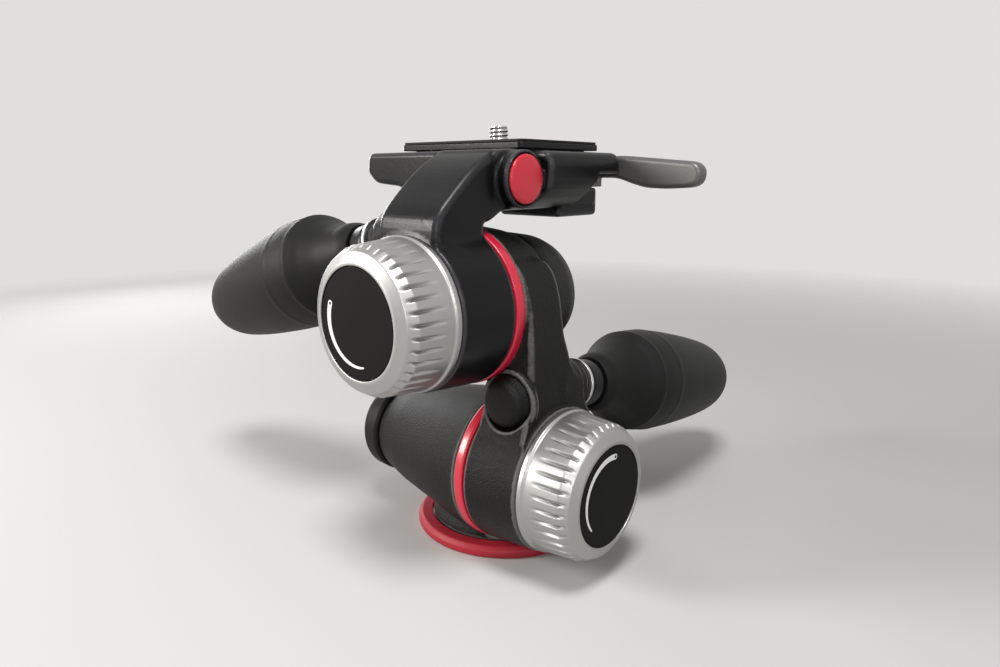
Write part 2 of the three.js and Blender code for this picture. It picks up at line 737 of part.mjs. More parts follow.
function platformBody() {
  const bracket = prismAlongX(
    outlineFrom(bracketShares, [bracketFrontY, sideAxisZ], [bracketRearY, platformTopZ]),
    bracketLeftX, bracketRightX, bracketEdge,
  );
  const bed = prismAlongY(
    outlineFrom(platformShares, [platformLeftX, platformBottomZ], [platformRightX, platformTopZ]),
    platformFrontY, platformRearY, platformEdge,
  );
  const nearWing = box(
    [bracketRightX, platformFrontY - overrun, platformBottomZ - overrun],
    [platformRightX + overrun, wingStartY, platformTopZ + overrun],
  );
  const block = prismAlongY([
    [blockLeftX, platformBottomZ + overrun], [blockLeftX, blockBottomZ + overrun],
    [blockLeftX + overrun, blockBottomZ], [blockRightX - overrun, blockBottomZ],
    [blockRightX, blockBottomZ + overrun], [blockRightX, platformBottomZ + overrun],
  ], blockFrontY, blockRearY, platformEdge);
  const foot = solidFrom(new ConvexGeometry([
    [footInnerX, footFrontY, footBaseZ], [bracketRightX - gap, footFrontY, footRearZ - gap],
    [footPeakX, footPeakY, footPeakZ], [footRearX, footRearY, footRearZ], [footInnerX, footRearY, footBaseZ],
    [footInnerX, footPeakY, footTopZ], [bracketRightX - gap, footPeakY, footTopZ],
    [bracketRightX - gap, footRearY, footTopZ],
  ].map((corner) => new THREE.Vector3(...corner))));
  const ringRoom = disc(seamRingRadius + gap, -overrun, seamRingWidth + gap);
  const badgeBoss = disc(badgeBossRadius, 0, badgeBossEndX - bracketRightX + 2 * bracketEdge, handleSteps);
  return joined(
    carried(collar(), sideAxis), bracket, foot, cut(bed, nearWing), block,
    badgeBoss.translate(0, 0, -2 * bracketEdge).transform(badgeFrame.matrixWorld.elements),
    cut(carried(handleBoss(handleBossLength + sideBossRise), sideHandle), carried(ringRoom, sideAxis)),
  );
}

const badgeFrame = frameAt([bracketRightX, badgeY, badgeZ], [1, 0, 0]);

function makePlatform() {
  const slotLow = [leverPivotX - leverKnuckleRadius - gap, leverPivotY - leverKnuckleRadius - gap,
    leverBottomZ - gap];
  const slotHigh = [platformRightX + overrun, blockRearY + overrun, leverKnuckleTopZ + gap];
  const badgeSeat = badgeBossEndX - bracketRightX - badgeRecess;
  const [plungerFoot, plungerTop] = sidePlungerSpan;
  const catchFace = platformRearY - catchLength + catchProud - catchTravel - gap;
  const vialReach = vialLength / 2 + vialSkin;
  const vialRoom = vialRadius + vialSkin;
  piece('platform_bracket', cut(
    platformBody(),
    carried(collarBores(), sideAxis),
    carried(joined(handleBore(rodScrewLength + sideBossRise), ferruleRoom()), sideHandle),
    plungerAt(sideAxisX, sideHandleY, plungerRadius + gap, plungerFoot - overrun, plungerTop + rodRadius),
    prismAlongZ(plateOutline(plateInset - gap), recessFloorZ, platformTopZ + overrun),
    box(slotLow, slotHigh),
    disc(leverPinRadius + gap, leverPinBottomZ - gap, leverPinTopZ + gap, pinSteps)
      .translate(leverPivotX, leverPivotY, 0),
    carried(disc(badgeRadius + gap, badgeSeat, badgeSeat + 2 * overrun, handleSteps), badgeFrame),
    disc(catchRadius + gap, 0, platformRearY - catchFace + overrun, pinSteps)
      .transform(frameMatrix([catchX, catchFace, catchZ], [0, 1, 0])),
    box([rearVialX - vialReach, platformRearY - 2 * vialRoom - gap, vialZ - vialRoom],
      [rearVialX + vialReach, platformRearY + overrun, vialZ + vialRoom]),
    box([platformLeftX - overrun, endVialY - vialReach, vialZ - vialRoom],
      [platformLeftX + 2 * vialRoom + gap, endVialY + vialReach, vialZ + vialRoom]),
  ), 'blackCasting');
  piece('side_clamp_plunger',
    plungerAt(sideAxisX, sideHandleY, plungerRadius, plungerFoot, plungerTop), 'brass');
  piece('badge_disc', turned([
    [0, badgeSeat + vialSkin], [badgeRadius, badgeSeat + vialSkin], [badgeRadius, badgeSeat + badgeThickness],
    [badgeDomeRadius, badgeSeat + badgeThickness + vialSkin], [0, badgeSeat + badgeThickness + 2 * vialSkin],
  ], handleSteps), 'redPlastic', badgeFrame);
  piece('safety_catch', disc(catchRadius, catchFace + catchTravel + gap, platformRearY + catchProud, pinSteps)
    .transform(frameMatrix([catchX, 0, catchZ], [0, 1, 0])), 'brass');
  piece('platform_level_vial', disc(vialRadius, -vialLength / 2, vialLength / 2, pinSteps)
    .transform(frameMatrix([rearVialX, platformRearY - vialRoom - gap, vialZ], [1, 0, 0])), 'levelFluid');
  piece('platform_cross_level_vial', disc(vialRadius, -vialLength / 2, vialLength / 2, pinSteps)
    .transform(frameMatrix([platformLeftX + vialRoom + gap, endVialY, vialZ], [0, 1, 0])), 'levelFluid');
}

function frameMatrix(position, direction) {
  const turn = new THREE.Quaternion()
    .setFromUnitVectors(new THREE.Vector3(0, 0, 1), new THREE.Vector3(...direction).normalize());
  return new THREE.Matrix4()
    .compose(new THREE.Vector3(...position), turn, new THREE.Vector3(1, 1, 1)).elements;
}

function makeLever() {
  const rearY = leverFaceY + leverThickness;
  const knuckle = disc(leverKnuckleRadius, leverBottomZ, leverKnuckleTopZ, smallSteps)
    .translate(leverPivotX, leverPivotY, 0);
  const link = box([leverPivotX, leverPivotY, leverBottomZ],
    [leverPivotX + leverKnuckleRadius, rearY - leverEdge, leverKnuckleTopZ]);
  const arm = prismAlongY(outlineFrom(leverShares, [leverPivotX, leverLowZ], [leverTipX, leverHighZ]),
    leverFaceY, rearY, leverEdge);
  const pinHole = disc(leverPinRadius + gap, leverBottomZ - overrun, leverKnuckleTopZ + overrun, pinSteps)
    .translate(leverPivotX, leverPivotY, 0);
  piece('quick_release_lever', cut(joined(knuckle, link, arm), pinHole), 'greyLever');
  piece('lever_pivot_pin', disc(leverPinRadius, leverPinBottomZ, leverPinTopZ, pinSteps)
    .translate(leverPivotX, leverPivotY, 0), 'steel');
}

function makeCameraPlate() {
  const headTop = recessFloorZ + 2 * gap + cameraScrewHeadThickness;
  const screwBore = cameraThreadRadius + gap;
  const padTop = plateTopZ + padThickness;
  piece('camera_plate', cut(
    joined(
      prismAlongZ(plateOutline(plateInset), recessFloorZ + gap, plateFlangeZ + gap),
      prismAlongZ(plateOutline(0), plateFlangeZ, plateTopZ, gap),
    ),
    joined(
      disc(screwBore, recessFloorZ - overrun, plateTopZ + overrun, smallSteps),
      disc(cameraScrewHeadRadius + gap, recessFloorZ - overrun, headTop + gap, smallSteps),
    ).translate(plateCentreX, plateCentreY, 0),
  ), 'blackCasting');
  piece('plate_pad', cut(
    prismAlongZ(plateOutline(padInset), plateTopZ, padTop),
    disc(screwBore, plateTopZ - overrun, padTop + overrun, smallSteps).translate(plateCentreX,
      plateCentreY, 0),
  ), 'blackRubber');
  const headBottom = recessFloorZ + 2 * gap;
  const slot = box(
    [-cameraScrewHeadRadius - overrun, -cameraScrewSlotWidth / 2, headBottom - overrun],
    [cameraScrewHeadRadius + overrun, cameraScrewSlotWidth / 2, headBottom + cameraScrewSlotDepth],
  );
  piece('camera_screw', cut(
    joined(
      disc(cameraScrewHeadRadius, headBottom, headTop, smallSteps),
      turned([
        [0, headBottom], [cameraThreadRadius, headBottom],
        [cameraThreadRadius, padTop + cameraThreadRise - gap],
        [cameraThreadRadius - gap, padTop + cameraThreadRise], [0, padTop + cameraThreadRise],
      ], smallSteps),
    ),
    slot,
  ).translate(plateCentreX, plateCentreY, 0), 'steel');
}

makeBase();
makePanHousing();
makeFrictionAxis(frontAxis, 'front');
makeTiltArm();
makeHandle(frontHandle, 'front', rodScrewLength);
makeFrictionAxis(sideAxis, 'side');
makePlatform();
makeHandle(sideHandle, 'side', rodScrewLength + sideBossRise);
makeLever();
makeCameraPlate();

export default head;
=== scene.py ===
"""Three way pan tilt head: the finish of every piece, built round its fixed frame."""

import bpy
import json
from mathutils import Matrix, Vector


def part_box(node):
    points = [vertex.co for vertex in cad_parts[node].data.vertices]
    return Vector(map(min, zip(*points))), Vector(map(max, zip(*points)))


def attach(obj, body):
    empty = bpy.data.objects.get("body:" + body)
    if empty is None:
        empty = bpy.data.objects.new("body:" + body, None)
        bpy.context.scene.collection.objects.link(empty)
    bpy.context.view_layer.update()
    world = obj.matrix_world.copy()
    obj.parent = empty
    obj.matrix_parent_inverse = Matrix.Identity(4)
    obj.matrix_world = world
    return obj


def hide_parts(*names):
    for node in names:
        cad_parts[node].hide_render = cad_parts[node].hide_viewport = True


bl_info = {
    "name": "Pan Tilt Head",
    "version": (1, 0, 0),
    "blender": (4, 5, 0),
    "location": "View3D > Sidebar > Pan Tilt Head",
    "description": "Builds the castings, knobs, handles and quick release of a three way pan tilt head",
    "category": "Add Mesh",
}

import json
import math

import bmesh
import bpy
import numpy as np
from mathutils import Euler, Matrix, Vector

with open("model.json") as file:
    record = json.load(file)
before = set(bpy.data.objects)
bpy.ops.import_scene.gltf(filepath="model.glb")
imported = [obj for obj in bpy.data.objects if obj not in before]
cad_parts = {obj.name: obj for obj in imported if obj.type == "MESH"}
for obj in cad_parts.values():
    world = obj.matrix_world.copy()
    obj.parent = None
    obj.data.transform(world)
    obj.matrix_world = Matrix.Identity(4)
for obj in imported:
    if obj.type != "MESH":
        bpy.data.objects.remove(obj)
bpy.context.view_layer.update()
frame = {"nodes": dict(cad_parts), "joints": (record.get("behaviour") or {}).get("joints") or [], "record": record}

# Shapes are worked out in millimetres and written to the meshes in metres
MM = 0.001
JOINTS = {joint["name"]: joint for joint in frame["joints"]}


def low(node):
    """The lowest corner of a node, in millimetres."""
    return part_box(node)[0] / MM


def high(node):
    """The highest corner of a node, in millimetres."""
    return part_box(node)[1] / MM


class Axis:
    """A place and a direction. Its own Z runs along the direction."""

    def __init__(self, origin, direction):
        self.origin = np.array(origin, float)
        self.direction = np.array(Vector(direction).normalized(), float)

    def matrix(self):
        """Takes a mesh made along Z to the axis, in millimetres."""
        turn = Vector((0, 0, 1)).rotation_difference(Vector(self.direction))
        return Matrix.Translation(Vector(self.origin)) @ turn.to_matrix().to_4x4()


def joint_place(name):
    """Where a joint's axis stands, in millimetres."""
    return Vector(JOINTS[name]["pos_m"]) / MM


def middle(node):
    """The middle of a node's box, in millimetres."""
    return (low(node) + high(node)) / 2


def outward(name, node):
    """The joint's direction, turned towards the node's middle."""
    direction = Vector(JOINTS[name]["axis"])
    return direction if direction.dot(middle(node) - joint_place(name)) > 0 else -direction


def along_x(x, y, z):
    """An axis in the direction of X."""
    return Axis((x, y, z), (1, 0, 0))


def along_y(x, y, z):
    """An axis in the direction of Y."""
    return Axis((x, y, z), (0, 1, 0))


def along_z(x, y):
    """An axis that stands upright, with its heights measured from the ground."""
    return Axis((x, y, 0), (0, 0, 1))


# Where the plug's flange seats on the arm
PLUG_SEAT_Y = -25.41

FRONT = along_x(low("front_seam_ring").x, *joint_place("front_tilt").yz)
SIDE = Axis((joint_place("side_tilt").x, high("side_seam_ring").y, joint_place("side_tilt").z), (0, -1, 0))
UP = along_z(0, 0)
LOCK = Axis((high("pan_lock_knob").x, *joint_place("pan_lock_turn").yz), (-1, 0, 0))
FRONT_HANDLE = Axis(joint_place("front_handle_turn"), outward("front_handle_turn", "front_handle_grip"))
SIDE_HANDLE = Axis(joint_place("side_handle_turn"), outward("side_handle_turn", "side_handle_grip"))
PLUG = along_y(middle("arm_plug").x, PLUG_SEAT_Y, middle("arm_plug").z)
TILT_AXES = {"front": FRONT, "side": SIDE}
HANDLES = {"front": FRONT_HANDLE, "side": SIDE_HANDLE}

# Fits shared by the pieces
GAP = 0.3
OVERRUN = 1.5

# A corner is eased over less than half of a short side
LARGEST_EASE_SHARE = 0.48

# Sides round the small turned pieces
SMALL_STEPS = 48

# Both tilt axes, measured outwards along the axis from the seam ring's inner face
RING_WIDTH = 3.3
RING_RADIUS = 23.6
RING_CROWN = 0.25
RING_SHOULDER = 0.5
RING_ROUNDING = 0.35
SPIGOT_RADIUS = 16.5
COLLAR_BACK_RADIUS = 23.4
COLLAR_FRONT_RADIUS = 22.1
COLLAR_END = 22.4
COLLAR_EDGE = 1.2
SHAFT_RADIUS = 6
SHAFT_HEAD_RADIUS = 9
SHAFT_HEAD_THICKNESS = 3.2
SHAFT_HEAD_DEPTH = 15.5
DRUM_RADIUS = 12
DRUM_END = 16.3
SHOULDER_END = 18.4
WASHER_RADIUS = 13

# Friction knob, measured from its back rim
KNOB_BACK = COLLAR_END + GAP
KNOB_PROFILE = [
    (0, 12.6), (18, 12.6), (18, 0), (21.7, 0), (21.7, 1.45), (21.15, 1.95), (20.2, 13), (18.6, 15.7),
    (15.8, 17.1), (15, 17.1), (15, 15.3), (0, 15.3),
]
ARC_RADIUS = 11.5
ARC_THIN = 0.45
ARC_THICK = 1.7
ARC_HOLE_RADIUS = 0.42
ARC_HOLE_STEPS = 20
DISC_RADIUS = 14.7
DISC_BACK = 15.6
DISC_FRONT = 16.8
DISC_ROUNDING = 0.3
KNOB_ROUNDING = 0.24
KNOB_STEP = 0.6
FLUTE_PITCH_RADIUS = 20.5
FLUTE_LINES = (0, 0.12, 0.35, 0.58, 0.7, 0.82, 1.15)
FLUTE_START = 4.2
FLUTE_FULL = 13
FLUTE_END = 15.1
FLUTE_INNER_RADIUS = 18.2
ARC_ANGLES = {"front": (-50, -190), "side": (282, 159)}
ARC_RISE = 0.06
ARC_HOLE_RISE = 0.09
ARC_STEPS = 72
ARC_CAP_STEPS = 12
ARC_GROWTH = 0.7

# Base and pan housing
BASE_RADIUS = 30
BASE_RING_WIDTH = 3
RING_HEIGHT = 3.8
BASE_RING_LIP = 0.6
BASE_RING_PROFILE = [
    (BASE_RADIUS - 0.5, 0), (BASE_RADIUS, 0.7), (BASE_RADIUS, 2.5), (BASE_RADIUS - 1.2, RING_HEIGHT),
]
BASE_RING_ROUNDING = 0.55
BASE_PLATE_RADIUS = 27
BASE_PLATE_BORE = 8.3
BASE_PLATE_BEVEL = 0.6
BASE_PLATE_ROUNDING = 0.3
PLATE_THICKNESS = 2.8
NECK_RADIUS = 24.8
NECK_TOP_RADIUS = 17
NECK_HEIGHT = 26
NECK_FOOT = 2.2
NECK_SHOULDER_HEIGHT = 9
NECK_ROUNDING = 1.5
NECK_FILLET = 2.2
HOUSING_END_X = -34
HOUSING_END_RADIUS = 15
HOUSING_ROUNDING = 1.2
SPINDLE_ROOM = 10.5
SPINDLE_TOP = 18.6
HOLLOW_RADIUS = 9.5
LEVEL_BOSS_Y = 17.6
LEVEL_BOSS_RADIUS = 6
LEVEL_BOSS_BOTTOM = 9
LEVEL_BOSS_ROUNDING = 0.8
LEVEL_BOSS_FILLET = 1.2
LEVEL_RADIUS = 4.3
LEVEL_DEPTH = 3.4
LEVEL_TOP = 21
LEVEL_ROOM_TOP = 30
LEVEL_AXIS = along_z(0, LEVEL_BOSS_Y)
SHOE_BOX = ((-15.3, -15.3, 8.7), (-6.7, -1.7, 32.3))
BARREL_SHARES = [(0.012, 1), (0.28, 0.8), (0.5, 0.6), (0.75, 0.35), (0.95, 0.06)]
BARREL_EDGE = 0.4

# Tilt arm
ARM_INNER_X = 15.3
ARM_OUTER_X = 33.6
ARM_BOTTOM_Z = 28.1
ARM_TOP_Z = 95
ARM_FRONT_Y = -31.2
ARM_REAR_Y = 5
ARM_SIDE_SHARES = [
    (0, 0.2), (0.1, 0.34), (0.16, 0.43), (0.16, 1), (0.57, 1), (0.585, 0.66), (0.63, 0.6), (0.7, 0.5),
    (0.86, 0.33), (1, 0.2), (1, 0), (0, 0),
]
ARM_FRONT_SHARES = [
    (0, 0), (1, 0), (1, 0.2), (0.92, 0.4), (0.91, 0.66), (0.84, 0.82), (0.7, 0.93), (0.45, 0.99),
    (-0.2, 0.9), (0, 0.5),
]
ARM_CORNER = 5
ARM_SECTION_EDGE = 0.1
ARM_WEB_ROUNDING = 1.6
ARM_COLLAR_FILLET = 0.6
ARM_HOUSING_FILLET = 1.5
ARM_BOSS_FILLET = 2.5
REAR_ROUNDING = 0.9
CAP_ROOM_EDGE = 0.4
REAR_SEAM_DEPTH = 17.4
REAR_SEAM_RADIUS = 20
REAR_POCKET_RADIUS = 15
REAR_POCKET_DEPTH = 6
CAP_SHOULDER = (18.6, -28)
CAP_END_RADIUS = 16.6
CAP_END_DEPTH = 33
CAP_SPIGOT_RADIUS = 14.6
CAP_BORE_RADIUS = 12.6
CAP_SPIGOT_LENGTH = 4
CAP_RIM = 1.2
CAP_RIM_TAPER = 0.2
CAP_ROUNDING = 1.6
PLUG_RIM_RADIUS = 9.6
PLUG_RIM_RISE = 1.2
PLUG_RIM_ROUNDING = 0.7
PLUG_RIM_FILLET = 0.8
PLUG_FLANGE_RADIUS = 7.9
PLUG_RISE = 5.4
PLUG_ROUNDING = 0.9
PLUG_STEM_RADIUS = 5
PLUG_STEM_LENGTH = 3.6
PLUG_HEAD_PROFILE = [
    (0, -PLUG_RISE), (2.6, -PLUG_RISE), (5.2, 0.35 - PLUG_RISE), (6.7, 1.4 - PLUG_RISE),
    (7.2, 3.2 - PLUG_RISE), (PLUG_FLANGE_RADIUS - 0.3, -1.4), (PLUG_FLANGE_RADIUS, -0.7),
    (PLUG_FLANGE_RADIUS, -GAP),
]

# Handles, measured outwards from the face that the thin ring seats on
BOSS_RADIUS = 8.5
BOSS_LENGTH = 15
BOSS_EDGE = 5.2
BOSS_NECK_RADIUS = 7
BOSS_NECK_LENGTH = 4.6
BOSS_ROUNDING = 0.8
SIDE_BOSS_RISE = 5
FERRULE_RADIUS = 7.6
FERRULE_START = 1.5
FERRULE_END = 8.6
FERRULE_BEVEL = 0.5
FERRULE_FRONT = 1.2
FERRULE_BACK = 1.4
FERRULE_ROUNDING = 0.5
HANDLE_RING_RADIUS = 8
HANDLE_RING_WIDTH = 1.2
HANDLE_RING_ROUNDING = 0.3
ROD_RADIUS = 4
ROD_SCREW_LENGTH = 24
ROD_REACH = 82
ROD_ROUNDING = 0.5
GRIP_START = 8.9
GRIP_LENGTH = 97
GRIP_RADIUS = 18.05
GRIP_BORE_DEPTH = 76
GRIP_SHARES = [
    (0, 0.44), (0.004, 0.466), (0.031, 0.534), (0.072, 0.576), (0.124, 0.656), (0.175, 0.79), (0.212, 0.915),
    (0.26, 0.972), (0.33, 0.998), (0.433, 0.985), (0.557, 0.94), (0.68, 0.878), (0.78, 0.8), (0.84, 0.71),
    (0.887, 0.59), (0.938, 0.455), (0.979, 0.28), (1, 0.05),
]
# Raised rings of the grip: distance from its root, rise and width
GRIP_RINGS = ((21.5, 0.42, 1), (32.4, 0.2, 0.9))
GRIP_STEP = 0.8
PLUNGER_RADIUS = 3.5

# Platform
PLATFORM_CELL_SHARE = 1.12
BRACKET_LEFT_X = -5.6
BRACKET_RIGHT_X = 18.1
BRACKET_FRONT_Y = -47.8
BRACKET_REAR_Y = -9.8
BRACKET_EDGE = 2.2
BRACKET_CORNER = 4.5
BRACKET_COLLAR_FILLET = 1.0
BRACKET_SHARES = [
    (0.05, 0.01), (0, 0.34), (0, 0.56), (0.066, 0.65), (0.163, 0.727), (0.355, 0.873), (0.521, 0.961),
    (0.653, 1), (1, 1), (1, 0.63), (0.726, 0.63), (0.575, 0.553), (0.492, 0.553), (0.492, 0.01),
]
PLATFORM_LEFT_X = -38.5
PLATFORM_RIGHT_X = 24.5
PLATFORM_FRONT_Y = -25
PLATFORM_REAR_Y = 27.7
PLATFORM_BOTTOM_Z = 106.8
PLATFORM_TOP_Z = 123.8
PLATFORM_EDGE = 1.6
PLATFORM_CORNER = 1.8
BED_FILLET = 1.2
PLATFORM_SHARES = [
    (0.421, 0.011), (0.841, 0), (0.92, 0.17), (1, 0.42), (1.008, 0.8), (0.98, 1), (0.019, 0.985),
    (0, 0.644), (0.063, 0.431), (0.246, 0.379),
]
WING_START_Y = -8.6
WING_ROUNDING = 1.6
BLOCK_LEFT_X = -10
BLOCK_RIGHT_X = 15
BLOCK_FRONT_Y = 8
BLOCK_REAR_Y = 29.3
BLOCK_BOTTOM_Z = 103.8
BLOCK_OVERLAP = 6
BLOCK_EDGE = 1.4
BLOCK_FILLET = 0.8
FOOT_CORNERS = [(12, -46.5), (17.8, -46.5), (23.3, -34.5), (19, -29.3), (12, -29.3)]
FOOT_BOTTOM_Z = 94
FOOT_TOP_Z = 106
FOOT_CORNER = 1.5
FOOT_EDGE = 0.4
FOOT_LEAN = 0.9
FOOT_LEAN_Z = 99.1
FOOT_LEAN_STEP = 1
FOOT_ROUNDING = 1.0
FOOT_FILLET = 1.2
BADGE_Y = -16.9
BADGE_Z = 115.8
BADGE_RADIUS = 6.9
BADGE_BOSS_RADIUS = 8.1
BADGE_BOSS_END_X = 22.4
BADGE_BOSS_ROUNDING = 0.7
BADGE_BOSS_FILLET = 1.0
BADGE_ROOM_EDGE = 0.4
BADGE_RECESS = 1
BADGE_BACK = 0.25
BADGE_THICKNESS = 1.4
BADGE_CROWN = [(0, -0.1), (1, 0.15), (3, 0.33), (BADGE_RADIUS, 0.45)]
BADGE_ROUNDING = 0.5
BADGE_BOSS_AXIS = along_x(BRACKET_RIGHT_X, BADGE_Y, BADGE_Z)
HANDLE_BOSS_FILLET = 2.0

# Camera plate, lever, levels and lock knob
PLATE_CENTRE = (-8.75, 6.5)
PLATE_SIZE = (52.5, 39)
PLATE_CORNER = 2
PLATE_INSET = 3
PLATE_EDGE = 0.3
PLATE_AXIS = along_z(*PLATE_CENTRE)
PLATE_FLANGE_Z = 124.4
PLATE_TOP_Z = 126.3
PAD_THICKNESS = 0.8
PAD_INSET = 0.35
PAD_EDGE = 0.2
DRILL_STEPS = 64
RECESS_FLOOR_Z = 119
RECESS_OVERRUN = 3
THREAD_RADIUS = 3.17
THREAD_RISE = 5.2
THREAD_TIP = 0.5
THREAD_TIP_TAPER = 0.6
THREAD_RUN_IN = 0.8
THREAD_RUN_OUT = 0.2
THREAD_STEP = 0.12
THREAD_SHARES = (0.8, 1.1)
THREAD_TURNS_AHEAD = 100
SCREW_BEVEL = 0.3
SCREW_HEAD_RADIUS = 6.5
SCREW_HEAD_THICKNESS = 2.4
LEVER_PIVOT = (8, 22.5)
LEVER_KNUCKLE_RADIUS = 6.5
LEVER_BOTTOM_Z = 113
LEVER_KNUCKLE_TOP_Z = 117
LEVER_FACE_Y = 28.2
LEVER_THICKNESS = 5.4
LEVER_TIP_X = 52.3
LEVER_LOW_Z = 112.7
LEVER_HIGH_Z = 123.4
LEVER_PIN_RADIUS = 2
LEVER_PIN_ROOM = (100, 125)
PIN_ROOM_EDGE = 0.3
LEVER_CELL_SHARE = 0.6
LEVER_CORNER = 2.4
LEVER_EDGE = 1.5
KNUCKLE_ROUNDING = 0.5
LINK_INSET = 1
LINK_EDGE = 0.4
LINK_FILLET = 0.4
BLADE_FILLET = 0.6
LIP_ROOM = 0.5
LIP_ROOM_DEPTH = 2
LIP_ROOM_RISE = 1
LEVER_AXIS = along_z(*LEVER_PIVOT)
LEVER_SHARES = [
    (0, 0.3), (0.33, 0.3), (0.46, 0.13), (0.57, 0.02), (0.73, 0), (0.93, 0.05), (0.985, 0.18), (1, 0.45),
    (0.985, 0.63), (0.94, 0.77), (0.35, 0.965), (0.13, 0.9), (0, 0.55),
]
CATCH_RADIUS = 2.6
CATCH_TRAVEL = 2.3
CATCH_ROUNDING = 0.5
CATCH_AXIS = along_y(middle("safety_catch").x, 0, middle("safety_catch").z)
VIAL_RADIUS = 2.1
VIAL_LENGTH = 13
VIAL_SKIN = 0.25
VIAL_ROUNDING = 0.9
VIAL_STEPS = 40
GLASS_DROP = 0.3
GLASS_INSET = 1.2
GLASS_ROUNDING = 0.4
GLASS_STEPS = 60
LOCK_KNOB_RADIUS = 15.9
LOCK_KNOB_LENGTH = 8.6
LOCK_KNOB_SHARES = [(0.95, 0), (1, 0.12), (0.985, 0.7), (0.9, 0.93), (0.78, 1)]
LOCK_KNOB_ROUNDING = 0.5
LOCK_BORE_RADIUS = 4.3
LOCK_BORE_DEPTH = 6
LOCK_FACE_RADIUS = 10.9
LOCK_FACE_DEPTH = 0.5

# Studio, in metres. A lamp has its place, its diameter, the setting and the share of it that it
# shines with, and its colour.
LAMP_AIM = (0, 0, 0.07)
LAMPS = (
    ("key_lamp", (-0.42, -0.52, 0.3), 0.24, "key_power", 1, (1, 0.97, 0.93)),
    ("fill_lamp", (0.6, -0.1, 0.35), 0.5, "fill_power", 1, (0.95, 0.97, 1)),
    ("front_lamp", (0.42, -0.5, 0.28), 0.13, "edge_power", 0.7, (1, 0.98, 0.95)),
    ("top_lamp", (0.17, -0.2, 0.64), 0.2, "top_power", 1, (1, 1, 1)),
    ("left_lamp", (-0.6, 0.12, 0.2), 0.22, "edge_power", 1, (1, 1, 1)),
)
FLOOR_RADIUS = 1.6
FLOOR_SIDES = 96
FLOOR_FADE = (0.22, 0.75)
BACKDROP_COLOUR = (1, 0.985, 0.965, 1)
BACKDROP_LIGHT = 0.2
BACKDROP_SEEN = 0.55
SENSOR_WIDTH = 36
CAMERA_CLIP = 0.01


def length_property(name, description, length, least=0):
    """A length that a user can change, given in millimetres."""
    return bpy.props.FloatProperty(
        name=name, description=description, default=length * MM, min=least * MM, unit="LENGTH")


def power_property(name, description, power):
    """A lamp's power that a user can change, in watts."""
    return bpy.props.FloatProperty(name=name, description=description, default=power, min=0, unit="POWER")


def colour_property(name, description, colour):
    """A colour that a user can change."""
    return bpy.props.FloatVectorProperty(
        name=name, description=description, subtype="COLOR", size=3, min=0, max=1, default=colour)


class HeadShapeSettings(bpy.types.PropertyGroup):
    """Sizes of the detail that the finish adds to the frame's pieces"""

    cell: length_property("Casting Cell", "Grid step that the castings are meshed at", 0.62, 0.3)
    turned_steps: bpy.props.IntProperty(
        name="Turned Steps", description="Sides round a turned piece", default=120, min=24)
    flute_count: bpy.props.IntProperty(
        name="Flutes", description="Flutes round each friction knob", default=38, min=8)
    flute_depth: length_property("Flute Depth", "How deep a flute is at the knob's front edge", 1.2)
    flute_half_width: length_property("Flute Half Width", "Half of a flute's width", 0.7, 0.1)
    thread_pitch: length_property("Thread Pitch", "Pitch of the camera screw", 1.27, 0.2)
    thread_depth: length_property("Thread Depth", "Depth of the camera screw's thread", 0.55)


class HeadFinishSettings(bpy.types.PropertyGroup):
    """Colours of the finishes"""

    casting: colour_property("Textured Black", "Coating of the arm and housings", (0.0048, 0.0046, 0.0044))
    satin: colour_property("Satin Black", "Coating of the platform and its collar", (0.0032, 0.0032, 0.0036))
    plastic: colour_property("Black Plastic", "Moulded caps, plug and knob discs", (0.0035, 0.0033, 0.0032))
    rubber: colour_property("Black Rubber", "Grips, pad and lock knob", (0.0045, 0.0044, 0.0043))
    aluminium: colour_property("Aluminium", "Friction knobs", (0.42, 0.417, 0.41))
    steel: colour_property("Steel", "Rods, screws and rings", (0.6, 0.6, 0.6))
    brass: colour_property("Brass", "Nuts, shoes and catch", (0.62, 0.45, 0.2))
    lever: colour_property("Lever Grey", "Quick release lever", (0.125, 0.122, 0.118))
    seam_red: colour_property("Seam Red", "Rings at the two tilt seams", (0.58, 0.012, 0.04))
    base_red: colour_property("Base Red", "Ring round the base", (0.4, 0.014, 0.03))
    badge_red: colour_property("Badge Red", "Disc on the bracket", (0.62, 0.015, 0.03))
    print_white: colour_property("Print White", "Arcs on the knob discs", (0.8, 0.79, 0.77))
    fluid: colour_property("Level Fluid", "Spirit level vials", (0.5, 0.72, 0.1))


class HeadStudioSettings(bpy.types.PropertyGroup):
    """The floor, the lamps and the camera"""

    floor: colour_property("Floor", "Pale floor", (0.58, 0.575, 0.565))
    key_power: power_property("Key Power", "Large soft lamp on the left", 4.2)
    fill_power: power_property("Fill Power", "Soft lamp on the right", 0.5)
    top_power: power_property("Top Power", "Soft lamp above the head", 3)
    edge_power: power_property("Edge Power", "Small lamps on the left and in front", 1.2)
    lens: bpy.props.FloatProperty(
        name="Lens", description="Focal length on a 36 mm sensor", default=25.56, min=1, unit="CAMERA")
    camera_place: bpy.props.FloatVectorProperty(
        name="Camera Place", description="Where the camera stands", subtype="TRANSLATION", size=3,
        default=(151.62 * MM, -172.99 * MM, 117.73 * MM))
    camera_turn: bpy.props.FloatVectorProperty(
        name="Camera Turn", description="How the camera is turned", subtype="EULER", size=3,
        default=(math.radians(77.19), math.radians(-0.1), math.radians(41.7)))


# Outlines
def spread(shares, start, end):
    """Points given as shares of a box, from its start corner to its end corner."""
    return [(start[0] + u * (end[0] - start[0]), start[1] + v * (end[1] - start[1])) for u, v in shares]


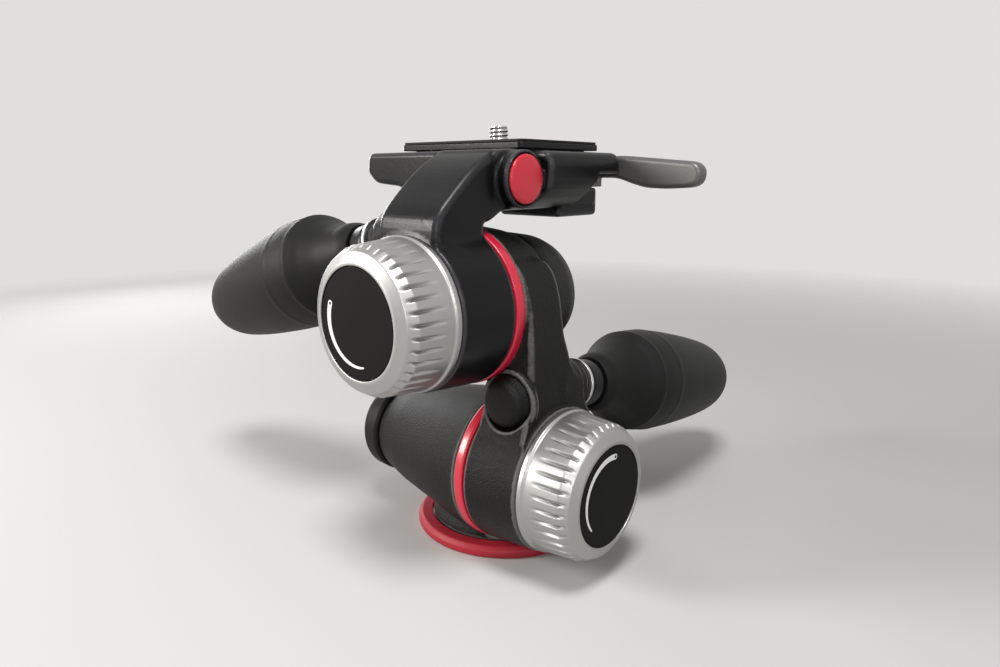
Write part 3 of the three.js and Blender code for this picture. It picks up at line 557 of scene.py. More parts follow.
def eased(outline, reach, closed=True, steps=5):
    """The outline with each corner rounded over the reach, or over less on a short side."""
    points = [Vector(point) for point in outline]
    count = len(points)
    result = []
    for i, corner in enumerate(points):
        if not closed and i in (0, count - 1):
            result.append(tuple(corner))
            continue
        before = points[i - 1] - corner
        after = points[(i + 1) % count] - corner
        if before.length == 0 or after.length == 0:
            continue
        start = corner + before.normalized() * min(reach, LARGEST_EASE_SHARE * before.length)
        end = corner + after.normalized() * min(reach, LARGEST_EASE_SHARE * after.length)
        for step in range(steps + 1):
            t = step / steps
            result.append(tuple(start * (1 - t) ** 2 + corner * 2 * t * (1 - t) + end * t ** 2))
    return result


def smooth_curve(points, steps=6):
    """A Catmull-Rom curve through the points."""
    places = [Vector(point) for point in points]
    ends = [2 * places[0] - places[1]] + places + [2 * places[-1] - places[-2]]
    result = []
    for a, b, c, d in zip(ends, ends[1:], ends[2:], ends[3:]):
        for step in range(steps):
            t = step / steps
            result.append(tuple(0.5 * (
                2 * b + (c - a) * t + (2 * a - 5 * b + 4 * c - d) * t ** 2
                + (3 * b - a - 3 * c + d) * t ** 3)))
    return result + [tuple(places[-1])]


def tube(inner, outer, start, end):
    """The (radius, height) outline of a plain tube, or of a plain cylinder where the inner radius is 0."""
    return [(inner, start), (outer, start), (outer, end), (inner, end)]


def rounded_rectangle(inset, steps=6):
    """The camera plate's outline, drawn in by the inset."""
    half_x = PLATE_SIZE[0] / 2 - inset
    half_y = PLATE_SIZE[1] / 2 - inset
    points = []
    for quarter, (sx, sy) in enumerate([(1, 1), (-1, 1), (-1, -1), (1, -1)]):
        for step in range(steps + 1):
            angle = (quarter + step / steps) * math.pi / 2
            points.append((
                PLATE_CENTRE[0] + sx * (half_x - PLATE_CORNER) + PLATE_CORNER * math.cos(angle),
                PLATE_CENTRE[1] + sy * (half_y - PLATE_CORNER) + PLATE_CORNER * math.sin(angle)))
    return points


# Distance fields, negative inside, for the castings
def outline_distance(u, v, outline):
    """The distance of each place (u, v) from a closed outline."""
    nearest = np.full(u.shape, np.inf)
    inside = np.zeros(u.shape, bool)
    for (ax, ay), (bx, by) in zip(outline, outline[1:] + outline[:1]):
        ex, ey = bx - ax, by - ay
        if ex == 0 and ey == 0:
            continue
        along = np.clip(((u - ax) * ex + (v - ay) * ey) / (ex * ex + ey * ey), 0, 1)
        nearest = np.minimum(nearest, (u - ax - along * ex) ** 2 + (v - ay - along * ey) ** 2)
        if ay != by:
            inside ^= ((ay > v) != (by > v)) & (u < ex * (v - ay) / ey + ax)
    return np.where(inside, -1, 1) * np.sqrt(nearest)


def turned(points, axis, profile, reach=0):
    """A solid of revolution about the axis, from (radius, height) points."""
    away = points - axis.origin
    height = away @ axis.direction
    radius = np.sqrt(np.maximum((away ** 2).sum(1) - height ** 2, 0))
    deep = [(-RING_RADIUS if r == 0 else r, h) for r, h in profile]
    return outline_distance(radius, height, eased(deep, reach) if reach else deep)


def disc(points, axis, radius, start, end, reach=0):
    """A cylinder about the axis."""
    return turned(points, axis, tube(0, radius, start, end), reach)


def prism(points, plane, outline, start, end, edge):
    """The outline, in the two axes of the plane, drawn out along the third, with rounded ends."""
    across = 3 - plane[0] - plane[1]
    side = outline_distance(points[:, plane[0]], points[:, plane[1]], outline) + edge
    cap = np.abs(points[:, across] - (start + end) / 2) - (end - start) / 2 + edge
    outside = np.hypot(np.maximum(side, 0), np.maximum(cap, 0))
    return np.minimum(np.maximum(side, cap), 0) + outside - edge


def block(points, start, end, edge=0):
    """A box between two corners, with rounded edges."""
    centre = (np.array(start) + np.array(end)) / 2
    past = np.abs(points - centre) - (np.array(end) - np.array(start)) / 2 + edge
    outside = np.sqrt((np.maximum(past, 0) ** 2).sum(1))
    return np.minimum(past.max(1), 0) + outside - edge


def joined(first, second, reach):
    """The union of two fields, with a fillet of about the reach between them."""
    share = np.clip(0.5 + 0.5 * (second - first) / reach, 0, 1)
    return second + (first - second) * share - reach * share * (1 - share)


def shared(first, second, reach):
    """The overlap of two fields, with its edge rounded by about the reach."""
    return -joined(-first, -second, reach)


def without(field, *tools, reach=0.5):
    """The field with each tool's field cut out of it, in order."""
    for tool in tools:
        field = shared(field, -tool, reach)
    return field


# Meshes
def sampled(field, start, counts, cell):
    """The field on a grid. Blocks of points that lie far from its surface share one value."""
    side = 5
    blocks = -(-counts // side)
    middles = [start[i] + cell * (side * np.arange(blocks[i]) + (side - 1) / 2) for i in range(3)]
    grids = np.meshgrid(*middles, indexing="ij")
    coarse = field(np.stack([grid.ravel() for grid in grids], 1)).reshape(blocks)
    values = coarse.repeat(side, 0).repeat(side, 1).repeat(side, 2)[:counts[0], :counts[1], :counts[2]]
    near = np.argwhere(np.abs(values) < side * cell + 1)
    places = np.array(start) + cell * near
    batch = 200000
    fine = [field(places[i:i + batch]) for i in range(0, len(places), batch)]
    values[tuple(near.T)] = np.concatenate(fine)
    return values


def surface_nets(field, start, end, cell):
    """Vertices and quads of the field's zero surface inside the box, on a grid of cells."""
    counts = np.ceil((np.array(end) - np.array(start)) / cell).astype(int) + 1
    values = sampled(field, start, counts, cell)
    inside = values < 0
    cells = tuple(counts - 1)
    total = np.zeros(cells + (3,))
    crossings = np.zeros(cells)
    span = [slice(None, -1), slice(1, None)]
    offsets = [(i, j, k) for i in (0, 1) for j in (0, 1) for k in (0, 1)]
    for a in offsets:
        for axis in range(3):
            if a[axis]:
                continue
            b = tuple(value + (i == axis) for i, value in enumerate(a))
            first = values[tuple(span[value] for value in a)]
            second = values[tuple(span[value] for value in b)]
            crossed = (first < 0) != (second < 0)
            share = np.where(crossed, first / np.where(crossed, first - second, 1), 0)
            for i in range(3):
                total[..., i] += np.where(crossed, a[i] + (share if i == axis else 0), 0)
            crossings += crossed
    used = crossings > 0
    number = np.full(cells, -1)
    number[used] = np.arange(used.sum())
    index = np.argwhere(used)
    vertices = np.array(start) + cell * (index + total[used] / crossings[used][:, None])
    quads = []
    for axis in range(3):
        p, q = [i for i in range(3) if i != axis]
        near = [slice(None)] * 3
        far = [slice(None)] * 3
        near[axis] = slice(None, -1)
        far[axis] = slice(1, None)
        changed = inside[tuple(near)] != inside[tuple(far)]
        where = np.argwhere(changed)
        where = where[(where[:, p] > 0) & (where[:, q] > 0)]
        where = where[(where[:, p] < counts[p] - 1) & (where[:, q] < counts[q] - 1)]
        corners = []
        for dp, dq in [(1, 1), (0, 1), (0, 0), (1, 0)]:
            at = where.copy()
            at[:, p] -= dp
            at[:, q] -= dq
            corners.append(number[tuple(at.T)])
        faces = np.stack(corners, 1)
        flip = inside[tuple(where.T)] == (axis == 1)
        faces[flip] = faces[flip][:, ::-1]
        quads.append(faces)
    return vertices, np.concatenate(quads)


def gradient(field, vertices, step=0.05):
    """The slope of the field at each vertex."""
    result = np.zeros_like(vertices)
    for i in range(3):
        shift = np.zeros(3)
        shift[i] = step
        result[:, i] = (field(vertices + shift) - field(vertices - shift)) / (2 * step)
    return result


def edge_share(field, vertices, step=0.7, full=1.1):
    """How sharply the surface is rounded outwards, from 0 on a flat to 1 on an edge."""
    bend = -6 * field(vertices)
    for i in range(3):
        shift = np.zeros(3)
        shift[i] = step
        bend += field(vertices + shift) + field(vertices - shift)
    return np.clip(bend / step ** 2 / full, 0, 1)


def linked(name, data):
    """An object for the mesh, lamp or camera, in the scene."""
    made = bpy.data.objects.new(name, data)
    bpy.context.scene.collection.objects.link(made)
    return made


def finished_mesh(name, work):
    """An object of what was built in the bmesh."""
    mesh = bpy.data.meshes.new(name)
    work.to_mesh(mesh)
    work.free()
    return linked(name, mesh)


def mesh_object(name, vertices, faces, normals):
    """A smooth object from vertices in millimetres, with a normal for each."""
    mesh = bpy.data.meshes.new(name)
    mesh.from_pydata((np.asarray(vertices) * MM).tolist(), [], [list(face) for face in faces])
    mesh.update()
    mesh.shade_smooth()
    mesh.normals_split_custom_set_from_vertices(normals.tolist())
    return linked(name, mesh)


def casting(node, field, cell_share=1.0, margin=1.5):
    """A mesh of the field round its node, with its vertices on the surface and an edge attribute."""
    start = np.array(low(node)) - margin
    end = np.array(high(node)) + margin
    cell = cell_share * bpy.context.scene.head_shape.cell / MM
    furthest = 0.4 * cell
    vertices, faces = surface_nets(field, start, end, cell)
    for _ in range(3):
        slope = gradient(field, vertices)
        steep = np.maximum((slope ** 2).sum(1), 0.25)[:, None]
        move = field(vertices)[:, None] * slope / steep
        vertices = vertices - np.clip(move, -furthest, furthest)
    slope = gradient(field, vertices)
    normals = slope / np.maximum(np.linalg.norm(slope, axis=1), 0.001)[:, None]
    piece = mesh_object(f"{node}_casting", vertices, faces, normals)
    edges = piece.data.attributes.new("edge_share", "FLOAT", "POINT")
    edges.data.foreach_set("value", edge_share(field, vertices).astype(np.float32))
    return piece


def turned_piece(name, axis, profile, reach=0.4, closed=False, steps=None, turns=None, place=True):
    """A turned mesh from (radius, height) points, with a UV map of turn and travel in millimetres."""
    steps = steps or bpy.context.scene.head_shape.turned_steps
    turns = turns or [step / steps for step in range(steps)]
    steps = len(turns)
    ends = turns[1:] + [turns[0] + 1]
    outline = eased(profile, reach, closed) if reach else list(profile)
    count = len(outline)
    tangents = [Vector(b) - Vector(a) for a, b in zip(outline, outline[1:] + outline[:1])]
    travel = [0]
    for tangent in tangents:
        travel.append(travel[-1] + tangent.length)
    vertices = []
    normals = []
    rings = []
    for i, (radius, height) in enumerate(outline):
        before = tangents[i - 1] if closed or i > 0 else Vector((0, 0))
        after = tangents[i] if closed or i < count - 1 else Vector((0, 0))
        lean = before * before.length + after * after.length
        normal = Vector((lean.y, -lean.x)).normalized()
        if radius == 0:
            rings.append([len(vertices)] * steps)
            vertices.append((0, 0, height))
            normals.append((0, 0, math.copysign(1, normal.y)))
            continue
        rings.append(list(range(len(vertices), len(vertices) + steps)))
        for step in range(steps):
            angle = math.tau * turns[step]
            vertices.append((radius * math.cos(angle), radius * math.sin(angle), height))
            normals.append((normal.x * math.cos(angle), normal.x * math.sin(angle), normal.y))
    faces = []
    uvs = []
    for i in range(count if closed else count - 1):
        lower, upper = rings[i], rings[(i + 1) % count]
        for step in range(steps):
            following = (step + 1) % steps
            corners = [(lower[step], turns[step], i), (lower[following], ends[step], i),
                       (upper[following], ends[step], i + 1), (upper[step], turns[step], i + 1)]
            kept = []
            for corner in corners:
                if corner[0] not in [item[0] for item in kept]:
                    kept.append(corner)
            if len(kept) > 2:
                faces.append([corner[0] for corner in kept])
                uvs.extend((corner[1], travel[corner[2]]) for corner in kept)
    piece = mesh_object(name, vertices, faces, np.array(normals))
    layer = piece.data.uv_layers.new(name="turned")
    layer.data.foreach_set("uv", [value for uv in uvs for value in uv])
    if place:
        settle(piece, axis)
    return piece


def settle(piece, axis):
    """Puts a mesh made along Z in its place on the axis."""
    matrix = axis.matrix()
    matrix.translation *= MM
    piece.data.transform(matrix)
    piece.data.update()


def slab(name, plane, outline, start, end, edge, steps=4):
    """The outline drawn out between two planes, with rounded rims, as a closed mesh."""
    across = 3 - plane[0] - plane[1]
    flat = [Vector(point) for point in outline]
    if sum(a.x * b.y - b.x * a.y for a, b in zip(flat, flat[1:] + flat[:1])) < 0:
        flat.reverse()
    layers = []
    for end_height, sign in ((start, 1), (end, -1)):
        rim = [(edge * (1 - math.sin(t)), end_height + sign * edge * (1 - math.cos(t)))
               for t in (step / steps * math.pi / 2 for step in range(steps + 1))]
        layers += rim if sign > 0 else rim[::-1]
    work = bmesh.new()
    rings = []
    for inset, height in layers:
        ring = []
        for before, corner, after in zip(flat[-1:] + flat[:-1], flat, flat[1:] + flat[:1]):
            first = (corner - before).normalized()
            second = (after - corner).normalized()
            inward = Vector((-first.y - second.y, first.x + second.x))
            inward /= max(1 + first.dot(second), 0.2)
            place = [0, 0, 0]
            place[plane[0]] = corner.x + inset * inward.x
            place[plane[1]] = corner.y + inset * inward.y
            place[across] = height
            ring.append(work.verts.new([value * MM for value in place]))
        rings.append(ring)
    for lower, upper in zip(rings, rings[1:]):
        for i in range(len(flat)):
            after = (i + 1) % len(flat)
            work.faces.new((lower[i], lower[after], upper[after], upper[i]))
    work.faces.new(rings[0][::-1])
    work.faces.new(rings[-1])
    bmesh.ops.recalc_face_normals(work, faces=work.faces)
    piece = finished_mesh(name, work)
    piece.data.shade_smooth()
    return piece


def applied(piece):
    """Replaces the piece's mesh by its evaluated one and drops its modifiers."""
    bpy.context.view_layer.update()
    whole = piece.evaluated_get(bpy.context.evaluated_depsgraph_get())
    mesh = bpy.data.meshes.new_from_object(whole)
    piece.modifiers.clear()
    piece.data = mesh
    mesh.name = piece.name
    return piece


def combined(piece, operation, *tools):
    """Joins each tool to the piece, or cuts it out, and removes the tool."""
    for tool in tools:
        change = piece.modifiers.new("change", "BOOLEAN")
        change.operation = operation
        change.solver = "EXACT"
        change.object = tool
    applied(piece)
    for tool in tools:
        bpy.data.objects.remove(tool)
    return piece


def sharpened(piece, angle=35):
    """Keeps the normals flat on flat faces: smooth only across small angles, weighted by area."""
    piece.data.set_sharp_from_angle(angle=math.radians(angle))
    weight = piece.modifiers.new("weight", "WEIGHTED_NORMAL")
    weight.keep_sharp = True
    return applied(piece)


# Node trees
class Value:
    """A socket that takes part in arithmetic."""

    def __init__(self, tree, socket):
        self.tree = tree
        self.socket = socket

    def __add__(self, other):
        return self.tree.maths("ADD", self, other)

    def __radd__(self, other):
        return self.tree.maths("ADD", other, self)

    def __sub__(self, other):
        return self.tree.maths("SUBTRACT", self, other)

    def __rsub__(self, other):
        return self.tree.maths("SUBTRACT", other, self)

    def __mul__(self, other):
        return self.tree.maths("MULTIPLY", self, other)

    def __rmul__(self, other):
        return self.tree.maths("MULTIPLY", other, self)

    def __truediv__(self, other):
        return self.tree.maths("DIVIDE", self, other)


class Tree:
    """A node tree with one method that makes any node."""

    def __init__(self, tree):
        self.nodes = tree.nodes
        self.links = tree.links
        self.nodes.clear()

    def node(self, kind, settings=None, inputs=None, output=0):
        """Makes a node and returns one of its outputs, or all of them by name where output is None."""
        made = self.nodes.new(kind)
        for key, value in (settings or {}).items():
            setattr(made, key, value)
        for key, value in (inputs or {}).items():
            if isinstance(value, Value):
                self.links.new(value.socket, made.inputs[key])
            else:
                made.inputs[key].default_value = value
        if output is None:
            return {socket.name: Value(self, socket) for socket in made.outputs if socket.name}
        return Value(self, made.outputs[output])

    def maths(self, operation, *values, clamp=False):
        settings = {"operation": operation, "use_clamp": clamp}
        return self.node("ShaderNodeMath", settings, dict(enumerate(values)))


class Finish(Tree):
    """A material's node tree."""

    def __init__(self, name):
        self.material = bpy.data.materials.new(name)
        self.material.use_nodes = True
        super().__init__(self.material.node_tree)
        self.place = self.node("ShaderNodeTexCoord", output="Object")

    def noise(self, scale, detail=2.0, vector=None, roughness=0.5):
        """Soft random patches, from 0 to 1."""
        return self.node("ShaderNodeTexNoise", {}, {
            "Vector": vector or self.place, "Scale": scale, "Detail": detail, "Roughness": roughness}, "Fac")

    def cells(self, scale):
        """The distance from the nearest of many scattered points."""
        return self.node("ShaderNodeTexVoronoi", {}, {"Vector": self.place, "Scale": scale}, "Distance")

    def mix(self, share, first, second):
        """A colour between two, by the share."""
        colours = [value if isinstance(value, Value) else (*value, 1) for value in (first, second)]
        return self.node("ShaderNodeMix", {"data_type": "RGBA"}, {0: share, 6: colours[0], 7: colours[1]}, 2)

    def band(self, value, start, end):
        """The value as a share between two levels, from 0 to 1."""
        return self.node("ShaderNodeMapRange", {"clamp": True}, {
            "Value": value, "From Min": start, "From Max": end}, "Result")

    def turned_lines(self, across, along):
        """Fine lines left by a lathe, read from the turned UV map."""
        uv = self.node("ShaderNodeUVMap", {"uv_map": "turned"}, output="UV")
        stretched = self.node("ShaderNodeMapping", {}, {"Vector": uv, "Scale": (along, across, 1)}, "Vector")
        return self.noise(1.0, 3.0, stretched, 0.6)

    def bump(self, height, strength, distance):
        """A normal bent by the height, which is worth the distance in metres."""
        return self.node("ShaderNodeBump", {}, {
            "Height": height, "Strength": strength, "Distance": distance}, "Normal")

    def finished(self, shader):
        """The material, with the shader as its surface."""
        self.node("ShaderNodeOutputMaterial", {}, {"Surface": shader}, None)
        return self.material

    def surface(self, **inputs):
        """The material, with a principled shader whose sockets are named in small letters."""
        named = {key.replace("_", " ").title().replace("Ior", "IOR"): value for key, value in inputs.items()}
        return self.finished(self.node("ShaderNodeBsdfPrincipled", {}, named, "BSDF"))


def colour_of(name):
    """A colour from the finish settings."""
    return tuple(getattr(bpy.context.scene.head_finish, name))


def shade(colour, factor):
    """The colour made lighter or darker."""
    return tuple(min(value * factor, 1) for value in colour)


def textured_black():
    """Coarse powder texture with lighter specks painted in as glints, and edges painted lighter, partly as wear
    and partly as a painted highlight.
    """
    finish = Finish("textured_black")
    colour = colour_of("casting")
    grain = finish.noise(2500.0, 2.0, roughness=0.6)
    pits = finish.cells(2100.0)
    patches = finish.noise(60.0)
    edge = finish.node("ShaderNodeAttribute", {"attribute_name": "edge_share"}, output="Fac")
    # Rounded edges painted lighter and made a little less rough: partly wear, partly a painted highlight where the
    # lamps catch the edges
    wear_and_edge_highlight = finish.band(edge + 0.4 * finish.noise(700.0, 3.0), 0.5, 0.9)
    # Lighter specks painted in as glints, and made less rough
    glint_speck = finish.band(grain, 0.6, 0.74)
    base = finish.mix(glint_speck * 0.55, colour, shade(colour, 3.2))
    base = finish.mix(wear_and_edge_highlight * 0.7, base, shade(colour, 34))
    rough = 0.4 + 0.12 * patches - 0.14 * glint_speck - 0.1 * wear_and_edge_highlight
    normal = finish.bump(grain * 0.7 + pits * 0.4, 0.9, 0.3 * MM)
    return finish.surface(base_color=base, roughness=rough, normal=normal, specular_ior_level=0.2)


def satin_black():
    """Smooth satin coating with a faint orange peel, and edges painted lighter, partly as rubbing and partly as a
    painted highlight.
    """
    finish = Finish("satin_black")
    colour = colour_of("satin")
    peel = finish.noise(900.0, 2.0)
    patches = finish.noise(45.0, 3.0)
    dust = finish.band(finish.noise(2600.0, 1.0), 0.7, 0.78)
    edge = finish.node("ShaderNodeAttribute", {"attribute_name": "edge_share"}, output="Fac")
    # Rounded edges painted lighter and made a little less rough: partly rubbing, partly a painted highlight where
    # the lamps catch the edges
    rubbing_and_edge_highlight = finish.band(edge + 0.3 * finish.noise(500.0, 3.0), 0.4, 0.9)
    base = finish.mix(patches * 0.5, colour, shade(colour, 1.5))
    base = finish.mix(dust * 0.5, base, shade(colour, 7))
    base = finish.mix(rubbing_and_edge_highlight * 0.5, base, shade(colour, 24))
    rough = 0.27 + 0.1 * patches - 0.06 * rubbing_and_edge_highlight
    normal = finish.bump(peel, 0.2, 0.15 * MM)
    return finish.surface(base_color=base, roughness=rough, normal=normal, specular_ior_level=0.2)


def black_plastic():
    """Finely eroded moulded plastic."""
    finish = Finish("black_plastic")
    colour = colour_of("plastic")
    grain = finish.noise(2300.0, 2.0)
    patches = finish.noise(70.0, 2.0)
    base = finish.mix(finish.band(grain, 0.62, 0.75) * 0.5, colour, shade(colour, 3))
    rough = 0.5 + 0.1 * patches
    return finish.surface(
        base_color=base, roughness=rough, normal=finish.bump(grain, 0.3, 0.09 * MM), specular_ior_level=0.1)


def black_rubber():
    """Soft touch rubber with a fine grain and faint handling marks."""
    finish = Finish("black_rubber")
    colour = colour_of("rubber")
    grain = finish.noise(1500.0, 3.0, roughness=0.6)
    marks = finish.noise(38.0, 4.0, roughness=0.65)
    base = finish.mix(finish.band(marks, 0.45, 0.75) * 0.6, colour, shade(colour, 1.7))
    rough = 0.44 + 0.2 * marks
    return finish.surface(
        base_color=base, roughness=rough, normal=finish.bump(grain, 0.3, 0.12 * MM), specular_ior_level=0.2)


def turned_aluminium():
    """Satin aluminium with lathe lines, and painted shade in the flutes."""
    finish = Finish("turned_aluminium")
    colour = colour_of("aluminium")
    lines = finish.turned_lines(9.0, 1.5)
    patches = finish.noise(90.0, 3.0)
    flute = finish.node("ShaderNodeAttribute", {"attribute_name": "flute_share"}, output="Fac")
    base = finish.mix(finish.band(patches, 0.35, 0.75) * 0.35, colour, shade(colour, 0.86))
    # Painted shade: the deeper the flute, the darker the colour
    base = finish.mix(finish.band(flute, 0.25, 1) * 0.45, base, shade(colour, 0.45))
    rough = 0.33 + 0.1 * lines + 0.06 * patches
    return finish.surface(
        base_color=base, metallic=1.0, roughness=rough, normal=finish.bump(lines, 0.06, 0.05 * MM))


def turned_steel():
    """Machined steel with fine lathe lines."""
    finish = Finish("turned_steel")
    colour = colour_of("steel")
    lines = finish.turned_lines(12.0, 1.0)
    patches = finish.noise(160.0, 3.0)
    base = finish.mix(patches * 0.5, colour, shade(colour, 0.75))
    return finish.surface(
        base_color=base, metallic=1.0, roughness=0.22 + 0.12 * lines,
        normal=finish.bump(lines, 0.08, 0.04 * MM))


def machined(metal):
    """Milled steel or brass of the inner pieces."""
    finish = Finish(f"machined_{metal}")
    colour = colour_of(metal)
    patches = finish.noise(220.0, 3.0)
    scratches = finish.node("ShaderNodeMapping", {}, {"Vector": finish.place, "Scale": (1, 1, 14)}, "Vector")
    lines = finish.noise(420.0, 2.0, scratches)
    base = finish.mix(patches * 0.6, colour, shade(colour, 0.7))
    return finish.surface(
        base_color=base, metallic=1.0, roughness=0.28 + 0.14 * lines,
        normal=finish.bump(lines, 0.1, 0.04 * MM))


def grey_paint():
    """Fine metallic grey paint of the lever."""
    finish = Finish("grey_paint")
    colour = colour_of("lever")
    flake = finish.noise(3000.0, 2.0)
    patches = finish.noise(55.0, 3.0)
    base = finish.mix(finish.band(flake, 0.5, 0.72) * 0.5, colour, shade(colour, 1.5))
    base = finish.mix(finish.band(patches, 0.5, 0.8) * 0.3, base, shade(colour, 0.8))
    return finish.surface(
        base_color=base, metallic=0.55, roughness=0.36 + 0.1 * patches,
        normal=finish.bump(flake, 0.12, 0.05 * MM))


def red_plastic(name, roughness, grain_scale, coat):
    """Red moulding of a ring or the badge: fine grain, slightly lighter where it is scuffed."""
    finish = Finish(name)
    colour = colour_of(name)
    grain = finish.noise(grain_scale, 2.0)
    scuffs = finish.band(finish.noise(150.0, 5.0, roughness=0.7), 0.55, 0.8)
    base = finish.mix(scuffs * 0.35, colour, shade(colour, 1.35))
    base = finish.mix(finish.band(grain, 0.6, 0.8) * 0.25, base, shade(colour, 0.7))
    return finish.surface(
        base_color=base, roughness=roughness + 0.12 * scuffs, coat_weight=coat, coat_roughness=0.1,
        normal=finish.bump(grain, 0.12, 0.06 * MM))


def printed_white():
    """White print, a little uneven."""
    finish = Finish("printed_white")
    colour = colour_of("print_white")
    wear = finish.noise(1100.0, 3.0)
    base = finish.mix(wear * 0.3, colour, shade(colour, 0.8))
    return finish.surface(base_color=base, roughness=0.45 + 0.1 * wear)


def level_fluid():
    """Tinted fluid in a clear vial."""
    finish = Finish("level_fluid")
    colour = colour_of("fluid")
    swirl = finish.noise(260.0, 2.0)
    return finish.surface(
        base_color=finish.mix(swirl * 0.5, colour, shade(colour, 1.25)), roughness=0.06 + 0.05 * swirl,
        coat_weight=1.0, coat_roughness=0.03)


FINISH_MAKERS = {
    "textured_black": textured_black,
    "satin_black": satin_black,
    "black_plastic": black_plastic,
    "black_rubber": black_rubber,
    "turned_aluminium": turned_aluminium,
    "turned_steel": turned_steel,
    "machined_steel": lambda: machined("steel"),
    "machined_brass": lambda: machined("brass"),
    "grey_paint": grey_paint,
    "seam_red": lambda: red_plastic("seam_red", 0.34, 1400.0, 0.3),
    "base_red": lambda: red_plastic("base_red", 0.55, 900.0, 0.0),
    "badge_red": lambda: red_plastic("badge_red", 0.22, 2500.0, 0.9),
    "printed_white": printed_white,
    "level_fluid": level_fluid,
}


def finish_named(name):
    """The finish, made when it is first asked for."""
    return bpy.data.materials.get(name) or FINISH_MAKERS[name]()


def dressed(piece, finish, slot, body, *nodes):
    """Gives a piece its finish, sets it on its body and lets it stand for its nodes; the slot is not used."""
    piece.data.materials.clear()
    piece.data.materials.append(finish_named(finish))
    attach(piece, body)
    if nodes:
        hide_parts(*nodes)
    return piece


# Castings
def collar_field(points, axis):
    """The tapered collar that a friction knob stands on."""
    start = RING_WIDTH + GAP
    return turned(points, axis, [
        (0, start), (COLLAR_BACK_RADIUS, start), (COLLAR_FRONT_RADIUS, COLLAR_END),
        (0, COLLAR_END)], COLLAR_EDGE)


def collar_bores(field, points, axis):
    """The collar's bores for the shaft, the drum and the washers."""
    return without(
        field,
        disc(points, axis, SHAFT_RADIUS + GAP, 0, COLLAR_END + OVERRUN),
        disc(points, axis, DRUM_RADIUS + GAP, 0, DRUM_END + GAP),
        disc(points, axis, WASHER_RADIUS + GAP, SHOULDER_END, COLLAR_END + OVERRUN))


def housing_bores(field, points, axis):
    """A housing's bores for the shaft and its head."""
    head_start = -SHAFT_HEAD_DEPTH - GAP
    head_end = -SHAFT_HEAD_DEPTH + SHAFT_HEAD_THICKNESS + GAP
    return without(
        field,
        disc(points, axis, SHAFT_RADIUS + GAP, -SHAFT_HEAD_DEPTH, RING_WIDTH + OVERRUN),
        disc(points, axis, SHAFT_HEAD_RADIUS + GAP, head_start, head_end))


def barrel_profile(depth, end_radius):
    """A housing's outline, from its seam back to its narrower end."""
    growth = COLLAR_BACK_RADIUS - end_radius
    rings = [(end_radius + out * growth, -along * depth) for along, out in BARREL_SHARES]
    start = (COLLAR_BACK_RADIUS - BARREL_EDGE, -GAP)
    end = (end_radius - BARREL_EDGE, -depth)
    return [(0, -GAP), start, *rings, end, (0, -depth)]


def spigot_field(points, axis):
    """The spigot that a seam ring sits on."""
    return disc(points, axis, SPIGOT_RADIUS, -OVERRUN, RING_WIDTH)


def boss_field(points, axis, length):
    """The boss that a handle screws into."""
    return turned(points, axis, [
        (0, -length), (BOSS_RADIUS, -length), (BOSS_RADIUS, -BOSS_EDGE),
        (BOSS_NECK_RADIUS, -BOSS_NECK_LENGTH), (BOSS_NECK_RADIUS, -GAP), (0, -GAP)], BOSS_ROUNDING)


def handle_bores(field, points, axis, screw_length, plunger_place, plunger_foot):
    """The bores of a boss for the rod, the handle's root and the plunger below the rod's end."""
    plunger_axis = along_z(*plunger_place)
    return without(
        field,
        disc(points, axis, ROD_RADIUS + GAP, -screw_length - GAP, OVERRUN),
        disc(points, axis, HANDLE_RING_RADIUS + GAP, -GAP, GRIP_START),
        disc(points, plunger_axis, PLUNGER_RADIUS + GAP, plunger_foot - OVERRUN, axis.origin[2]))


def pan_housing_field(points):
    """The lower casting: neck, barrel, spigot and the round level's boss."""
    depth = FRONT.origin[0] - HOUSING_END_X
    bottom = PLATE_THICKNESS + GAP
    neck = turned(points, UP, [
        (0, bottom), (NECK_RADIUS, bottom), (NECK_RADIUS, bottom + NECK_FOOT),
        (NECK_RADIUS - NECK_FOOT, NECK_SHOULDER_HEIGHT), ((NECK_RADIUS + NECK_TOP_RADIUS) / 2, SPINDLE_TOP),
        (NECK_TOP_RADIUS, NECK_HEIGHT), (0, NECK_HEIGHT)], NECK_ROUNDING)
    neck = without(neck, disc(points, FRONT, RING_RADIUS + 2 * GAP, -2 * GAP, COLLAR_END + OVERRUN))
    barrel = turned(points, FRONT, eased(barrel_profile(depth, HOUSING_END_RADIUS), HOUSING_ROUNDING))
    boss = disc(points, LEVEL_AXIS, LEVEL_BOSS_RADIUS, LEVEL_BOSS_BOTTOM, LEVEL_TOP, LEVEL_BOSS_ROUNDING)
    field = np.minimum(joined(neck, barrel, NECK_FILLET), spigot_field(points, FRONT))
    field = joined(field, boss, LEVEL_BOSS_FILLET)
    hollow_end = -SHAFT_HEAD_DEPTH + SHAFT_HEAD_THICKNESS + GAP
    field = without(
        field,
        disc(points, UP, SPINDLE_ROOM, -OVERRUN, SPINDLE_TOP),
        block(points, *SHOE_BOX),
        disc(points, FRONT, HOLLOW_RADIUS, -depth - OVERRUN, hollow_end))
    field = housing_bores(field, points, FRONT)
    level_floor = LEVEL_TOP - LEVEL_DEPTH - GAP
    return without(field, disc(points, LEVEL_AXIS, LEVEL_RADIUS + GAP, level_floor, LEVEL_ROOM_TOP))


